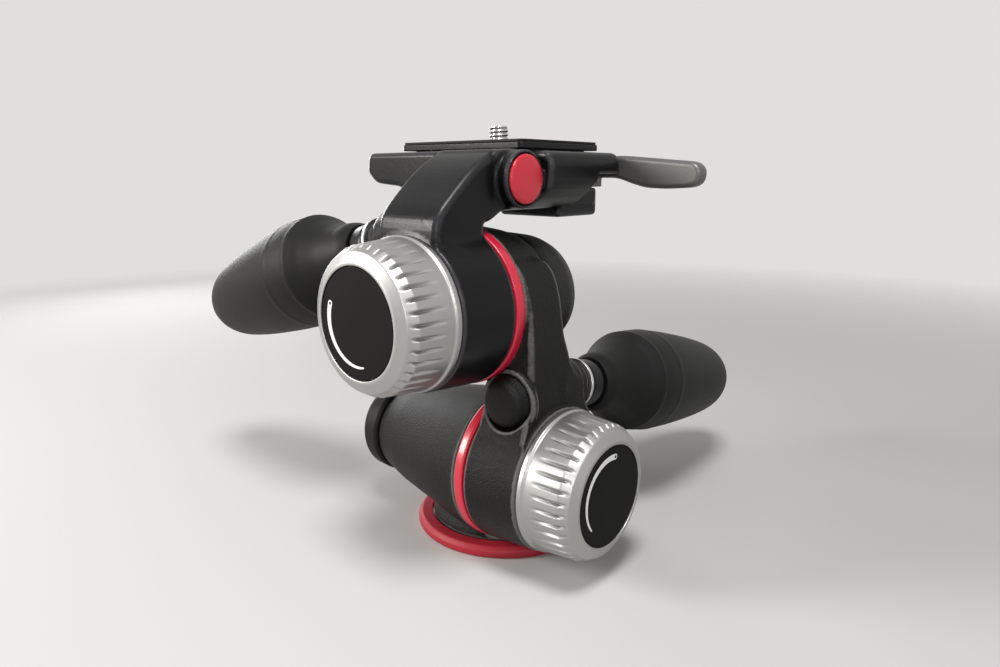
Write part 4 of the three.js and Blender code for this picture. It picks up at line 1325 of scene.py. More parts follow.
def arm_web_field(points):
    """The arm's web, from its outlines seen from the side and from the front."""
    side = spread(ARM_SIDE_SHARES, (ARM_FRONT_Y, ARM_BOTTOM_Z), (ARM_REAR_Y, ARM_TOP_Z))
    front = spread(ARM_FRONT_SHARES, (ARM_INNER_X, ARM_BOTTOM_Z), (ARM_OUTER_X, ARM_TOP_Z))
    seen_from_side = prism(
        points, (1, 2), eased(side, ARM_CORNER), -ARM_OUTER_X, ARM_OUTER_X, ARM_SECTION_EDGE)
    seen_from_front = prism(
        points, (0, 2), eased(front, ARM_CORNER), ARM_FRONT_Y - OVERRUN, ARM_REAR_Y + OVERRUN,
        ARM_SECTION_EDGE)
    web = shared(seen_from_side, seen_from_front, ARM_WEB_ROUNDING)
    cap_room = disc(points, SIDE, REAR_SEAM_RADIUS + GAP, -CAP_END_DEPTH, -REAR_SEAM_DEPTH)
    return without(web, cap_room, reach=CAP_ROOM_EDGE)


def tilt_arm_field(points):
    """The upright casting: web, lower collar, rear housing, handle boss and the plug's rim."""
    housing = turned(points, SIDE, eased(barrel_profile(REAR_SEAM_DEPTH, REAR_SEAM_RADIUS), REAR_ROUNDING))
    rim = disc(points, PLUG, PLUG_RIM_RADIUS, -PLUG_RIM_RISE, OVERRUN, PLUG_RIM_ROUNDING)
    rim = without(rim, disc(points, SIDE, RING_RADIUS + GAP, -OVERRUN, COLLAR_END))
    field = joined(arm_web_field(points), collar_field(points, FRONT), ARM_COLLAR_FILLET)
    field = np.minimum(joined(field, housing, ARM_HOUSING_FILLET), spigot_field(points, SIDE))
    field = joined(field, boss_field(points, FRONT_HANDLE, BOSS_LENGTH), ARM_BOSS_FILLET)
    field = joined(field, rim, PLUG_RIM_FILLET)
    field = housing_bores(collar_bores(field, points, FRONT), points, SIDE)
    pocket = disc(points, SIDE, REAR_POCKET_RADIUS, -REAR_SEAM_DEPTH - OVERRUN, -REAR_POCKET_DEPTH)
    field = without(field, pocket)
    plunger_place = (FRONT_HANDLE.origin[0], FRONT.origin[1])
    field = handle_bores(
        field, points, FRONT_HANDLE, ROD_SCREW_LENGTH, plunger_place, FRONT.origin[2] + DRUM_RADIUS)
    return without(
        field,
        disc(points, PLUG, PLUG_STEM_RADIUS + GAP, -OVERRUN, PLUG_STEM_LENGTH + GAP),
        disc(points, PLUG, PLUG_FLANGE_RADIUS + GAP, -PLUG_RISE - OVERRUN, 0))


def bracket_field(points):
    """The bracket's side outline, drawn out to its width."""
    outline = spread(BRACKET_SHARES, (BRACKET_FRONT_Y, SIDE.origin[2]), (BRACKET_REAR_Y, PLATFORM_TOP_Z))
    return prism(
        points, (1, 2), eased(outline, BRACKET_CORNER), BRACKET_LEFT_X, BRACKET_RIGHT_X, BRACKET_EDGE)


def foot_field(points):
    """The bracket's foot at the front, cut off by a leaning plane."""
    foot = prism(points, (0, 1), eased(FOOT_CORNERS, FOOT_CORNER), FOOT_BOTTOM_Z, FOOT_TOP_Z, FOOT_EDGE)
    lean = points[:, 0] - BRACKET_RIGHT_X + (points[:, 2] - FOOT_LEAN_Z) * FOOT_LEAN - FOOT_LEAN_STEP
    return shared(foot, lean, FOOT_ROUNDING)


def bed_field(points):
    """The quick release bed, open at the front beside the badge."""
    outline = spread(
        PLATFORM_SHARES, (PLATFORM_LEFT_X, PLATFORM_BOTTOM_Z), (PLATFORM_RIGHT_X, PLATFORM_TOP_Z))
    bed = prism(
        points, (0, 2), eased(outline, PLATFORM_CORNER), PLATFORM_FRONT_Y, PLATFORM_REAR_Y, PLATFORM_EDGE)
    opening = block(
        points, (BRACKET_RIGHT_X, PLATFORM_FRONT_Y - OVERRUN, PLATFORM_BOTTOM_Z - OVERRUN),
        (PLATFORM_RIGHT_X + OVERRUN, WING_START_Y, PLATFORM_TOP_Z + OVERRUN))
    return without(bed, opening, reach=WING_ROUNDING)


def lever_room(points):
    """The slot that the lever's knuckle turns in, and the gap below it where the blade passes."""
    right = PLATFORM_RIGHT_X + OVERRUN
    rear = BLOCK_REAR_Y + OVERRUN
    left = LEVER_PIVOT[0] - LEVER_KNUCKLE_RADIUS - GAP
    front = LEVER_PIVOT[1] - LEVER_KNUCKLE_RADIUS
    slot = block(
        points, (left, front - GAP, LEVER_BOTTOM_Z - GAP), (right, rear, LEVER_KNUCKLE_TOP_Z + GAP))
    below = block(
        points, (BLOCK_RIGHT_X + LIP_ROOM, front - LIP_ROOM_DEPTH, BLOCK_BOTTOM_Z),
        (right, rear, LEVER_BOTTOM_Z + LIP_ROOM_RISE))
    return slot, below


def vial_rooms(points):
    """The pockets of the two straight levels, open at the rear and at the left."""
    rooms = []
    for node, side, opening in (
            ("platform_level_vial", 1, PLATFORM_REAR_Y + OVERRUN),
            ("platform_cross_level_vial", 0, PLATFORM_LEFT_X - OVERRUN)):
        start = np.array(low(node)) - VIAL_SKIN
        end = np.array(high(node)) + VIAL_SKIN
        open_corner = end if opening > 0 else start
        open_corner[side] = opening
        rooms.append(block(points, start, end))
    return rooms


def platform_field(points):
    """The upper casting: bracket, collar, foot, bed, badge boss and handle boss."""
    under = block(
        points, (BLOCK_LEFT_X, BLOCK_FRONT_Y, BLOCK_BOTTOM_Z),
        (BLOCK_RIGHT_X, BLOCK_REAR_Y, PLATFORM_BOTTOM_Z + BLOCK_OVERLAP), BLOCK_EDGE)
    boss_end = BADGE_BOSS_END_X - BRACKET_RIGHT_X
    badge_seat = boss_end - BADGE_RECESS
    boss = disc(points, BADGE_BOSS_AXIS, BADGE_BOSS_RADIUS, -2 * BRACKET_EDGE, boss_end, BADGE_BOSS_ROUNDING)
    handle_boss = without(
        boss_field(points, SIDE_HANDLE, BOSS_LENGTH + SIDE_BOSS_RISE),
        disc(points, SIDE, RING_RADIUS + GAP, -OVERRUN, RING_WIDTH + GAP))
    field = joined(bracket_field(points), collar_field(points, SIDE), BRACKET_COLLAR_FILLET)
    for addition, fillet in (
            (foot_field(points), FOOT_FILLET), (bed_field(points), BED_FILLET), (under, BLOCK_FILLET),
            (boss, BADGE_BOSS_FILLET), (handle_boss, HANDLE_BOSS_FILLET)):
        field = joined(field, addition, fillet)
    field = collar_bores(field, points, SIDE)
    plunger_place = (SIDE.origin[0], SIDE_HANDLE.origin[1])
    field = handle_bores(
        field, points, SIDE_HANDLE, ROD_SCREW_LENGTH + SIDE_BOSS_RISE, plunger_place,
        SIDE.origin[2] + DRUM_RADIUS)
    recess = prism(
        points, (0, 1), rounded_rectangle(PLATE_INSET - GAP), RECESS_FLOOR_Z,
        PLATFORM_TOP_Z + RECESS_OVERRUN, 0)
    pin = disc(points, LEVER_AXIS, LEVER_PIN_RADIUS + GAP, low("lever_pivot_pin").z - GAP,
               high("lever_pivot_pin").z + GAP)
    field = without(field, recess, *lever_room(points), pin)
    badge_room = disc(points, BADGE_BOSS_AXIS, BADGE_RADIUS + GAP, badge_seat, badge_seat + 2 * OVERRUN)
    field = without(field, badge_room, reach=BADGE_ROOM_EDGE)
    catch_room = disc(points, CATCH_AXIS, CATCH_RADIUS + GAP, low("safety_catch").y - CATCH_TRAVEL,
                      PLATFORM_REAR_Y + OVERRUN)
    return without(field, catch_room, *vial_rooms(points))


def lever_field(points):
    """The lever's blade with its knuckle and the link between them."""
    outline = spread(LEVER_SHARES, (LEVER_PIVOT[0], LEVER_LOW_Z), (LEVER_TIP_X, LEVER_HIGH_Z))
    rear = LEVER_FACE_Y + LEVER_THICKNESS
    blade = prism(points, (0, 2), eased(outline, LEVER_CORNER), LEVER_FACE_Y, rear, LEVER_EDGE)
    knuckle = disc(
        points, LEVER_AXIS, LEVER_KNUCKLE_RADIUS, LEVER_BOTTOM_Z, LEVER_KNUCKLE_TOP_Z, KNUCKLE_ROUNDING)
    link = block(
        points, (*LEVER_PIVOT, LEVER_BOTTOM_Z),
        (LEVER_PIVOT[0] + LEVER_KNUCKLE_RADIUS, rear - LINK_INSET, LEVER_KNUCKLE_TOP_Z), LINK_EDGE)
    field = joined(joined(knuckle, link, LINK_FILLET), blade, BLADE_FILLET)
    pin = disc(points, LEVER_AXIS, LEVER_PIN_RADIUS + GAP, *LEVER_PIN_ROOM)
    return without(field, pin, reach=PIN_ROOM_EDGE)


class HEAD_OT_pan_housing(bpy.types.Operator):
    """Makes the pan housing casting"""

    bl_idname = "pan_head.pan_housing"
    bl_label = "Pan Housing"

    def execute(self, context):
        piece = casting("pan_housing", pan_housing_field)
        dressed(piece, "textured_black", "black_casting", "pan", "pan_housing")
        return {"FINISHED"}


class HEAD_OT_tilt_arm(bpy.types.Operator):
    """Makes the tilt arm casting, its rear cap and its plug"""

    bl_idname = "pan_head.tilt_arm"
    bl_label = "Tilt Arm"

    def execute(self, context):
        piece = casting("tilt_arm", tilt_arm_field)
        dressed(piece, "textured_black", "black_casting", "arm", "tilt_arm")
        seam = -REAR_SEAM_DEPTH - GAP
        floor = -REAR_SEAM_DEPTH - CAP_RIM
        spigot_end = -REAR_SEAM_DEPTH + CAP_SPIGOT_LENGTH
        cap = turned_piece("side_housing_cap_moulding", SIDE, [
            (0, -CAP_END_DEPTH), (CAP_END_RADIUS, -CAP_END_DEPTH), CAP_SHOULDER, (REAR_SEAM_RADIUS, floor),
            (REAR_SEAM_RADIUS - CAP_RIM_TAPER, seam), (CAP_SPIGOT_RADIUS, seam),
            (CAP_SPIGOT_RADIUS, spigot_end), (CAP_BORE_RADIUS, spigot_end), (CAP_BORE_RADIUS, floor),
            (0, floor)], CAP_ROUNDING)
        dressed(cap, "textured_black", "knob_black", "arm", "side_housing_cap")
        plug = turned_piece("arm_plug_moulding", PLUG, [
            *PLUG_HEAD_PROFILE, (PLUG_STEM_RADIUS, -GAP), (PLUG_STEM_RADIUS, PLUG_STEM_LENGTH),
            (0, PLUG_STEM_LENGTH)], PLUG_ROUNDING)
        dressed(plug, "textured_black", "knob_black", "arm", "arm_plug")
        return {"FINISHED"}


class HEAD_OT_platform(bpy.types.Operator):
    """Makes the platform and bracket casting"""

    bl_idname = "pan_head.platform"
    bl_label = "Platform"

    def execute(self, context):
        piece = casting("platform_bracket", platform_field, PLATFORM_CELL_SHARE)
        dressed(piece, "satin_black", "satin_black_casting", "platform", "platform_bracket")
        return {"FINISHED"}


class HEAD_OT_rings(bpy.types.Operator):
    """Makes the red rings at the base and at both tilt seams, and the base plate"""

    bl_idname = "pan_head.rings"
    bl_label = "Red Rings"

    def execute(self, context):
        inner = SPIGOT_RADIUS + GAP
        crown = RING_RADIUS - RING_CROWN
        for name, axis, body in (("front", FRONT, "pan"), ("side", SIDE, "arm")):
            ring = turned_piece(f"{name}_seam_ring_moulding", axis, [
                (inner, 0), (crown, 0), (RING_RADIUS, RING_SHOULDER),
                (RING_RADIUS, RING_WIDTH - RING_SHOULDER), (crown, RING_WIDTH),
                (inner, RING_WIDTH)], RING_ROUNDING, True)
            dressed(ring, "seam_red", "seam_ring", body, f"{name}_seam_ring")
        bore = BASE_RADIUS - BASE_RING_WIDTH + GAP
        lip = NECK_RADIUS + GAP
        under = RING_HEIGHT - BASE_RING_LIP
        ring = turned_piece("base_ring_moulding", UP, [
            (bore, 0), *BASE_RING_PROFILE, (lip, RING_HEIGHT), (lip, under), (bore, under)],
            BASE_RING_ROUNDING, True)
        dressed(ring, "base_red", "base_ring", "base", "base_ring")
        plate = turned_piece("base_plate_turning", UP, [
            (BASE_PLATE_BORE, 0), (BASE_PLATE_RADIUS - BASE_PLATE_BEVEL, 0),
            (BASE_PLATE_RADIUS, BASE_PLATE_BEVEL), (BASE_PLATE_RADIUS, PLATE_THICKNESS),
            (BASE_PLATE_BORE, PLATE_THICKNESS)], BASE_PLATE_ROUNDING, True)
        dressed(plate, "turned_steel", "base_steel", "base", "base_plate")
        return {"FINISHED"}


# Flutes and thread
class TurnedShapeTree(Tree):
    """A Geometry Nodes tree with named lengths, which draws the points of a turned mesh to its axis."""

    def __init__(self, name, lengths):
        self.group = bpy.data.node_groups.new(name, "GeometryNodeTree")
        sockets = self.group.interface
        sockets.new_socket("Geometry", in_out="INPUT", socket_type="NodeSocketGeometry")
        for length in lengths:
            sockets.new_socket(length, in_out="INPUT", socket_type="NodeSocketFloat")
        sockets.new_socket("Finish", in_out="INPUT", socket_type="NodeSocketMaterial")
        sockets.new_socket("Geometry", in_out="OUTPUT", socket_type="NodeSocketGeometry")
        super().__init__(self.group)
        self.given = self.node("NodeGroupInput", output=None)
        position = self.node("GeometryNodeInputPosition")
        place = self.node("ShaderNodeSeparateXYZ", {}, {0: position}, None)
        self.x = place["X"]
        self.y = place["Y"]
        self.z = place["Z"]
        self.radius = self.maths("SQRT", self.x * self.x + self.y * self.y)
        self.turn = self.maths("ARCTAN2", self.y, self.x) / math.tau

    def drawn_in(self, depth, **marks):
        """Ends the tree: the points are drawn in by the depth, and each mark is stored on them."""
        scale = 1 - depth / self.maths("MAXIMUM", self.radius, MM)
        moved = self.node("ShaderNodeCombineXYZ", {}, {0: self.x * scale, 1: self.y * scale, 2: self.z})
        shape = self.node("GeometryNodeSetPosition", {}, {
            "Geometry": self.given["Geometry"], "Position": moved})
        for mark, share in marks.items():
            shape = self.node("GeometryNodeStoreNamedAttribute", {"data_type": "FLOAT", "domain": "POINT"}, {
                "Geometry": shape, "Name": mark, "Value": share})
        whole = self.node("GeometryNodeRealizeInstances", {}, {"Geometry": shape})
        finished = self.node("GeometryNodeSetMaterial", {}, {
            "Geometry": whole, "Material": self.given["Finish"]})
        self.node("NodeGroupOutput", {}, {"Geometry": finished}, None)
        return self.group


def flute_tree():
    """Geometry Nodes: cuts V flutes into a turned mesh, deepest at the front edge."""
    tree = TurnedShapeTree("knob_flutes", (
        "Count", "Depth", "Half Width", "Start", "Full", "End", "Inner Radius"))
    given = tree.given
    off_centre = tree.maths("ABSOLUTE", tree.maths("FRACT", tree.turn * given["Count"]) - 0.5)
    side = off_centre * math.tau * tree.radius / given["Count"]
    rising = (tree.z - given["Start"]) / (given["Full"] - given["Start"])
    falling = (given["End"] - tree.z) / (given["End"] - given["Full"])
    reach = tree.maths("MULTIPLY", rising, 1, clamp=True) * tree.maths("MULTIPLY", falling, 1, clamp=True)
    outside = tree.maths("GREATER_THAN", tree.radius, given["Inner Radius"])
    cut = tree.maths("MAXIMUM", 1 - side / given["Half Width"], 0) * (reach * given["Depth"] * outside)
    return tree.drawn_in(cut, flute_share=cut / given["Depth"])


def thread_tree():
    """Geometry Nodes: winds a V thread into a turned mesh."""
    tree = TurnedShapeTree("screw_thread", ("Pitch", "Depth", "Start", "End", "Radius"))
    given = tree.given
    turn = tree.maths("FRACT", tree.turn - tree.z / given["Pitch"] + THREAD_TURNS_AHEAD)
    valley = 1 - tree.maths("ABSOLUTE", turn - 0.5) * 2
    above = tree.maths("GREATER_THAN", tree.z, given["Start"])
    below = tree.maths("LESS_THAN", tree.z, given["End"])
    outer = tree.maths("GREATER_THAN", tree.radius, given["Radius"] * THREAD_SHARES[0])
    inner = tree.maths("LESS_THAN", tree.radius, given["Radius"] * THREAD_SHARES[1])
    return tree.drawn_in(valley * (above * below) * (outer * inner) * given["Depth"])


def with_nodes(piece, group, **values):
    """Runs a Geometry Nodes tree on the piece with the given inputs, and applies it."""
    custom = piece.data.attributes.get("custom_normal")
    if custom:
        piece.data.attributes.remove(custom)
    modifier = piece.modifiers.new(group.name, "NODES")
    modifier.node_group = group
    for item in group.interface.items_tree:
        key = item.name.lower().replace(" ", "_")
        if item.in_out == "INPUT" and key in values:
            modifier[item.identifier] = values[key]
    return applied(piece)


def moved(piece, x, y, z):
    """Moves a mesh by a distance in millimetres."""
    piece.data.transform(Matrix.Translation((x * MM, y * MM, z * MM)))


def divided(profile, longest):
    """The profile with its long sides split, so that a rule can bend it."""
    result = []
    for a, b in zip(profile, profile[1:]):
        count = max(1, math.ceil((Vector(b) - Vector(a)).length / longest))
        result += [tuple(Vector(a).lerp(Vector(b), i / count)) for i in range(count)]
    return result + [profile[-1]]


def arc_outline(start_angle, end_angle):
    """The outline of an arc with round ends that widens to its end, and the middle of that end."""
    middles = []
    normals = []
    halves = []
    for step in range(ARC_STEPS + 1):
        share = step / ARC_STEPS
        angle = start_angle + share * (end_angle - start_angle)
        normals.append(Vector((math.cos(angle), math.sin(angle))))
        middles.append(normals[-1] * ARC_RADIUS)
        halves.append((ARC_THIN + (ARC_THICK - ARC_THIN) * share ** ARC_GROWTH) / 2)
    turn = math.copysign(1, end_angle - start_angle)
    around = [math.pi * step / ARC_CAP_STEPS for step in range(1, ARC_CAP_STEPS)]
    caps = []
    for i, sign in ((-1, 1), (0, -1)):
        forward = Vector((-normals[i].y, normals[i].x)) * turn
        caps.append([
            middles[i] + sign * halves[i] * (normals[i] * math.cos(angle) + forward * math.sin(angle))
            for angle in around])
    outer = [place + normal * half for place, normal, half in zip(middles, normals, halves)]
    inner = [place - normal * half for place, normal, half in zip(middles, normals, halves)]
    return outer + caps[0] + inner[::-1] + caps[1], middles[-1]


def printed_arc(name, axis, height, outline):
    """A thin raised print of the outline on a knob's disc."""
    count = len(outline)
    work = bmesh.new()
    lower = [work.verts.new((place.x * MM, place.y * MM, height * MM)) for place in outline]
    upper = [work.verts.new((place.x * MM, place.y * MM, (height + ARC_RISE) * MM)) for place in outline]
    for i in range(count):
        work.faces.new((lower[i], lower[(i + 1) % count], upper[(i + 1) % count], upper[i]))
    work.faces.new(upper)
    work.faces.new(lower[::-1])
    bmesh.ops.recalc_face_normals(work, faces=work.faces)
    bmesh.ops.triangulate(work, faces=[face for face in work.faces if len(face.verts) > 4])
    piece = finished_mesh(name, work)
    settle(piece, axis)
    return piece


def flute_turns(count):
    """The turns at which a knob has vertices, so that each flute's edges lie on them."""
    pitch = math.tau * FLUTE_PITCH_RADIUS / count
    across = [-value for value in FLUTE_LINES[:0:-1]] + [*FLUTE_LINES, pitch / 2]
    return [(i + 0.5 + value / pitch) / count for i in range(count) for value in across]


class HEAD_OT_friction_knobs(bpy.types.Operator):
    """Makes both fluted friction knobs with their discs and printed arcs"""

    bl_idname = "pan_head.friction_knobs"
    bl_label = "Friction Knobs"

    def execute(self, context):
        settings = context.scene.head_shape
        flutes = flute_tree()
        turns = flute_turns(settings.flute_count)
        outline = divided(eased(KNOB_PROFILE, KNOB_ROUNDING, False, 4), KNOB_STEP)
        face = KNOB_BACK + DISC_FRONT
        for name, axis in TILT_AXES.items():
            knob = turned_piece(f"{name}_friction_knob_turning", axis, outline, 0, turns=turns, place=False)
            with_nodes(
                knob, flutes, count=float(settings.flute_count), depth=settings.flute_depth,
                half_width=settings.flute_half_width, start=FLUTE_START * MM, full=FLUTE_FULL * MM,
                end=FLUTE_END * MM, inner_radius=FLUTE_INNER_RADIUS * MM,
                finish=finish_named("turned_aluminium"))
            moved(knob, 0, 0, KNOB_BACK)
            settle(knob, axis)
            dressed(knob, "turned_aluminium", "knob_silver", f"{name}_knob", f"{name}_friction_knob")
            label = turned_piece(
                f"{name}_knob_disc_moulding", axis, tube(0, DISC_RADIUS, KNOB_BACK + DISC_BACK, face),
                DISC_ROUNDING)
            dressed(label, "black_plastic", "knob_black", f"{name}_knob", f"{name}_knob_disc")
            outline_of_arc, mark = arc_outline(*(math.radians(angle) for angle in ARC_ANGLES[name]))
            arc = printed_arc(f"{name}_knob_arc", axis, face, outline_of_arc)
            dressed(arc, "printed_white", "knob_black", f"{name}_knob")
            dot = turned_piece(
                f"{name}_knob_arc_hole", axis,
                tube(0, ARC_HOLE_RADIUS, DISC_FRONT, DISC_FRONT + ARC_HOLE_RISE), 0,
                steps=ARC_HOLE_STEPS, place=False)
            moved(dot, mark.x, mark.y, KNOB_BACK)
            settle(dot, axis)
            dressed(dot, "black_plastic", "knob_black", f"{name}_knob")
        return {"FINISHED"}


def grip_profile():
    """The grip's outline with its two raised rings, from the root to the end."""
    through = [(GRIP_RADIUS * out, GRIP_START + GRIP_LENGTH * along) for along, out in GRIP_SHARES]
    outline = []
    for radius, height in smooth_curve(through, 8):
        travel = height - GRIP_START
        for place, rise, width in GRIP_RINGS:
            radius += rise * math.exp(-((travel - place) / width) ** 2)
        outline.append((max(radius, 0), height))
    return outline


class HEAD_OT_handles(bpy.types.Operator):
    """Makes both handles: rod, thin ring, ferrule and grip"""

    bl_idname = "pan_head.handles"
    bl_label = "Handles"

    def execute(self, context):
        bore = ROD_RADIUS + GAP
        bore_end = GRIP_START + GRIP_BORE_DEPTH
        outline = divided(grip_profile(), GRIP_STEP)
        waist = FERRULE_RADIUS - FERRULE_BEVEL
        for name, axis in HANDLES.items():
            body = f"{name}_handle"
            reach = ROD_SCREW_LENGTH + (SIDE_BOSS_RISE if name == "side" else 0)
            rod = turned_piece(
                f"{body}_rod_turning", axis, tube(0, ROD_RADIUS, -reach, ROD_REACH), ROD_ROUNDING,
                steps=SMALL_STEPS)
            dressed(rod, "turned_steel", "inner_steel", body, f"{body}_rod")
            ring = turned_piece(
                f"{body}_ring_turning", axis, tube(bore, HANDLE_RING_RADIUS, 0, HANDLE_RING_WIDTH),
                HANDLE_RING_ROUNDING, True)
            dressed(ring, "turned_steel", "inner_steel", body, f"{body}_ring")
            ferrule = turned_piece(f"{body}_ferrule_turning", axis, [
                (bore, FERRULE_START), (waist, FERRULE_START),
                (FERRULE_RADIUS, FERRULE_START + FERRULE_FRONT),
                (FERRULE_RADIUS, FERRULE_END - FERRULE_BACK), (waist, FERRULE_END), (bore, FERRULE_END)],
                FERRULE_ROUNDING, True)
            dressed(ferrule, "satin_black", "satin_black_casting", body, f"{body}_ferrule")
            grip = turned_piece(f"{body}_grip_moulding", axis, [
                (0, bore_end), (bore, bore_end), (bore, GRIP_START), *outline,
                (0, GRIP_START + GRIP_LENGTH)], 0)
            dressed(grip, "black_rubber", "grip_black", f"{name}_grip", f"{body}_grip")
        return {"FINISHED"}


class HEAD_OT_lock_knob(bpy.types.Operator):
    """Makes the pan lock knob"""

    bl_idname = "pan_head.lock_knob"
    bl_label = "Pan Lock Knob"

    def execute(self, context):
        side = [(out * LOCK_KNOB_RADIUS, along * LOCK_KNOB_LENGTH) for out, along in LOCK_KNOB_SHARES]
        face = LOCK_KNOB_LENGTH - LOCK_FACE_DEPTH
        knob = turned_piece("pan_lock_knob_moulding", LOCK, [
            (0, LOCK_BORE_DEPTH), (LOCK_BORE_RADIUS, LOCK_BORE_DEPTH), (LOCK_BORE_RADIUS, 0), *side,
            (LOCK_FACE_RADIUS + LOCK_FACE_DEPTH, LOCK_KNOB_LENGTH), (LOCK_FACE_RADIUS, face), (0, face)],
            LOCK_KNOB_ROUNDING)
        dressed(knob, "black_rubber", "lock_knob", "pan_lock", "pan_lock_knob")
        return {"FINISHED"}


class HEAD_OT_badge(bpy.types.Operator):
    """Makes the bare red disc on the bracket"""

    bl_idname = "pan_head.badge"
    bl_label = "Badge Disc"

    def execute(self, context):
        axis = along_x(BADGE_BOSS_END_X - BADGE_RECESS, BADGE_Y, BADGE_Z)
        crown = [(BADGE_RADIUS - inset, BADGE_THICKNESS + rise) for inset, rise in BADGE_CROWN]
        badge = turned_piece(
            "badge_disc_moulding", axis, [(0, BADGE_BACK), (BADGE_RADIUS, BADGE_BACK), *crown],
            BADGE_ROUNDING)
        dressed(badge, "badge_red", "badge_red", "platform", "badge_disc")
        return {"FINISHED"}


class HEAD_OT_lever(bpy.types.Operator):
    """Makes the quick release lever"""

    bl_idname = "pan_head.lever"
    bl_label = "Quick Release Lever"

    def execute(self, context):
        piece = casting("quick_release_lever", lever_field, LEVER_CELL_SHARE)
        dressed(piece, "grey_paint", "lever_grey", "lever", "quick_release_lever")
        return {"FINISHED"}


def drill(radius, start, end):
    """A cylinder on the camera plate's axis, to bore with."""
    return turned_piece("drill", PLATE_AXIS, tube(0, radius, start, end), 0, steps=DRILL_STEPS)


def plate_slab(name, inset, start, end, edge):
    """A slab of the camera plate's outline, drawn in by the inset."""
    return slab(name, (0, 1), rounded_rectangle(inset), start, end, edge)


def camera_screw(thread, head_bottom, head_top, top):
    """The camera screw's turning, with its thread wound by the tree."""
    settings = bpy.context.scene.head_shape
    rim = SCREW_HEAD_RADIUS - SCREW_BEVEL
    outline = divided([
        (0, head_bottom), (rim, head_bottom), (SCREW_HEAD_RADIUS, head_bottom + SCREW_BEVEL),
        (SCREW_HEAD_RADIUS, head_top - SCREW_BEVEL), (rim, head_top), (THREAD_RADIUS, head_top),
        (THREAD_RADIUS, top - THREAD_TIP), (THREAD_RADIUS - THREAD_TIP_TAPER, top), (0, top)], THREAD_STEP)
    screw = turned_piece("camera_screw_turning", PLATE_AXIS, outline, 0, steps=SMALL_STEPS, place=False)
    with_nodes(
        screw, thread, pitch=settings.thread_pitch, depth=settings.thread_depth,
        start=(head_top + THREAD_RUN_IN) * MM, end=(top - THREAD_RUN_OUT) * MM, radius=THREAD_RADIUS * MM,
        finish=finish_named("turned_steel"))
    settle(screw, PLATE_AXIS)
    return screw


class HEAD_OT_camera_plate(bpy.types.Operator):
    """Makes the camera plate, its pad and its screw"""

    bl_idname = "pan_head.camera_plate"
    bl_label = "Camera Plate"

    def execute(self, context):
        pad_top = PLATE_TOP_Z + PAD_THICKNESS
        bore = THREAD_RADIUS + GAP
        head_bottom = RECESS_FLOOR_Z + 2 * GAP
        head_top = head_bottom + SCREW_HEAD_THICKNESS
        foot = plate_slab("plate_foot", PLATE_INSET, RECESS_FLOOR_Z + GAP, PLATE_FLANGE_Z + GAP, PLATE_EDGE)
        plate = plate_slab("camera_plate_casting", 0, PLATE_FLANGE_Z, PLATE_TOP_Z, PLATE_EDGE)
        combined(plate, "UNION", foot)
        combined(
            plate, "DIFFERENCE",
            drill(bore, RECESS_FLOOR_Z - OVERRUN, PLATE_TOP_Z + OVERRUN),
            drill(SCREW_HEAD_RADIUS + GAP, RECESS_FLOOR_Z - OVERRUN, head_top + GAP))
        dressed(sharpened(plate), "satin_black", "camera_plate", "plate", "camera_plate")
        pad = plate_slab("plate_pad_sheet", PAD_INSET, PLATE_TOP_Z, pad_top, PAD_EDGE)
        combined(pad, "DIFFERENCE", drill(bore, PLATE_TOP_Z - OVERRUN, pad_top + OVERRUN))
        dressed(sharpened(pad), "black_rubber", "pad_black", "plate", "plate_pad")
        screw = camera_screw(thread_tree(), head_bottom, head_top, pad_top + THREAD_RISE)
        dressed(screw, "turned_steel", "inner_steel", "plate_screw", "camera_screw")
        return {"FINISHED"}


class HEAD_OT_levels(bpy.types.Operator):
    """Makes the three spirit level vials and the safety catch"""

    bl_idname = "pan_head.levels"
    bl_label = "Levels And Catch"

    def execute(self, context):
        half = VIAL_LENGTH / 2
        for node, lying in (("platform_level_vial", along_x), ("platform_cross_level_vial", along_y)):
            vial = turned_piece(
                f"{node}_tube", lying(*middle(node)), tube(0, VIAL_RADIUS, -half, half), VIAL_ROUNDING,
                steps=VIAL_STEPS)
            dressed(vial, "level_fluid", "level_fluid", "platform", node)
        floor = LEVEL_TOP - LEVEL_DEPTH
        glass = turned_piece("pan_level_vial_glass", LEVEL_AXIS, [
            (0, floor), (LEVEL_RADIUS, floor), (LEVEL_RADIUS, LEVEL_TOP - GLASS_DROP),
            (LEVEL_RADIUS - GLASS_INSET, LEVEL_TOP), (0, LEVEL_TOP)], GLASS_ROUNDING, steps=GLASS_STEPS)
        dressed(glass, "level_fluid", "level_fluid", "pan", "pan_level_vial")
        catch = turned_piece(
            "safety_catch_button", CATCH_AXIS,
            tube(0, CATCH_RADIUS, low("safety_catch").y, high("safety_catch").y), CATCH_ROUNDING,
            steps=SMALL_STEPS)
        dressed(catch, "machined_brass", "inner_brass", "catch", "safety_catch")
        return {"FINISHED"}


# Inner pieces and studio
INNER_FINISHES = {
    "inner_steel": "machined_steel", "base_steel": "machined_steel", "inner_brass": "machined_brass",
    "knob_black": "black_plastic",
}


class HEAD_OT_inner_pieces(bpy.types.Operator):
    """Gives the frame's own inner pieces their machined finishes"""

    bl_idname = "pan_head.inner_pieces"
    bl_label = "Inner Pieces"

    def execute(self, context):
        slots = {item["node"]: item["material_slot"] for item in frame["record"]["subparts"]}
        for name, node in frame["nodes"].items():
            finish = INNER_FINISHES.get(slots[name])
            if finish:
                node.data.materials.clear()
                node.data.materials.append(finish_named(finish))
        return {"FINISHED"}


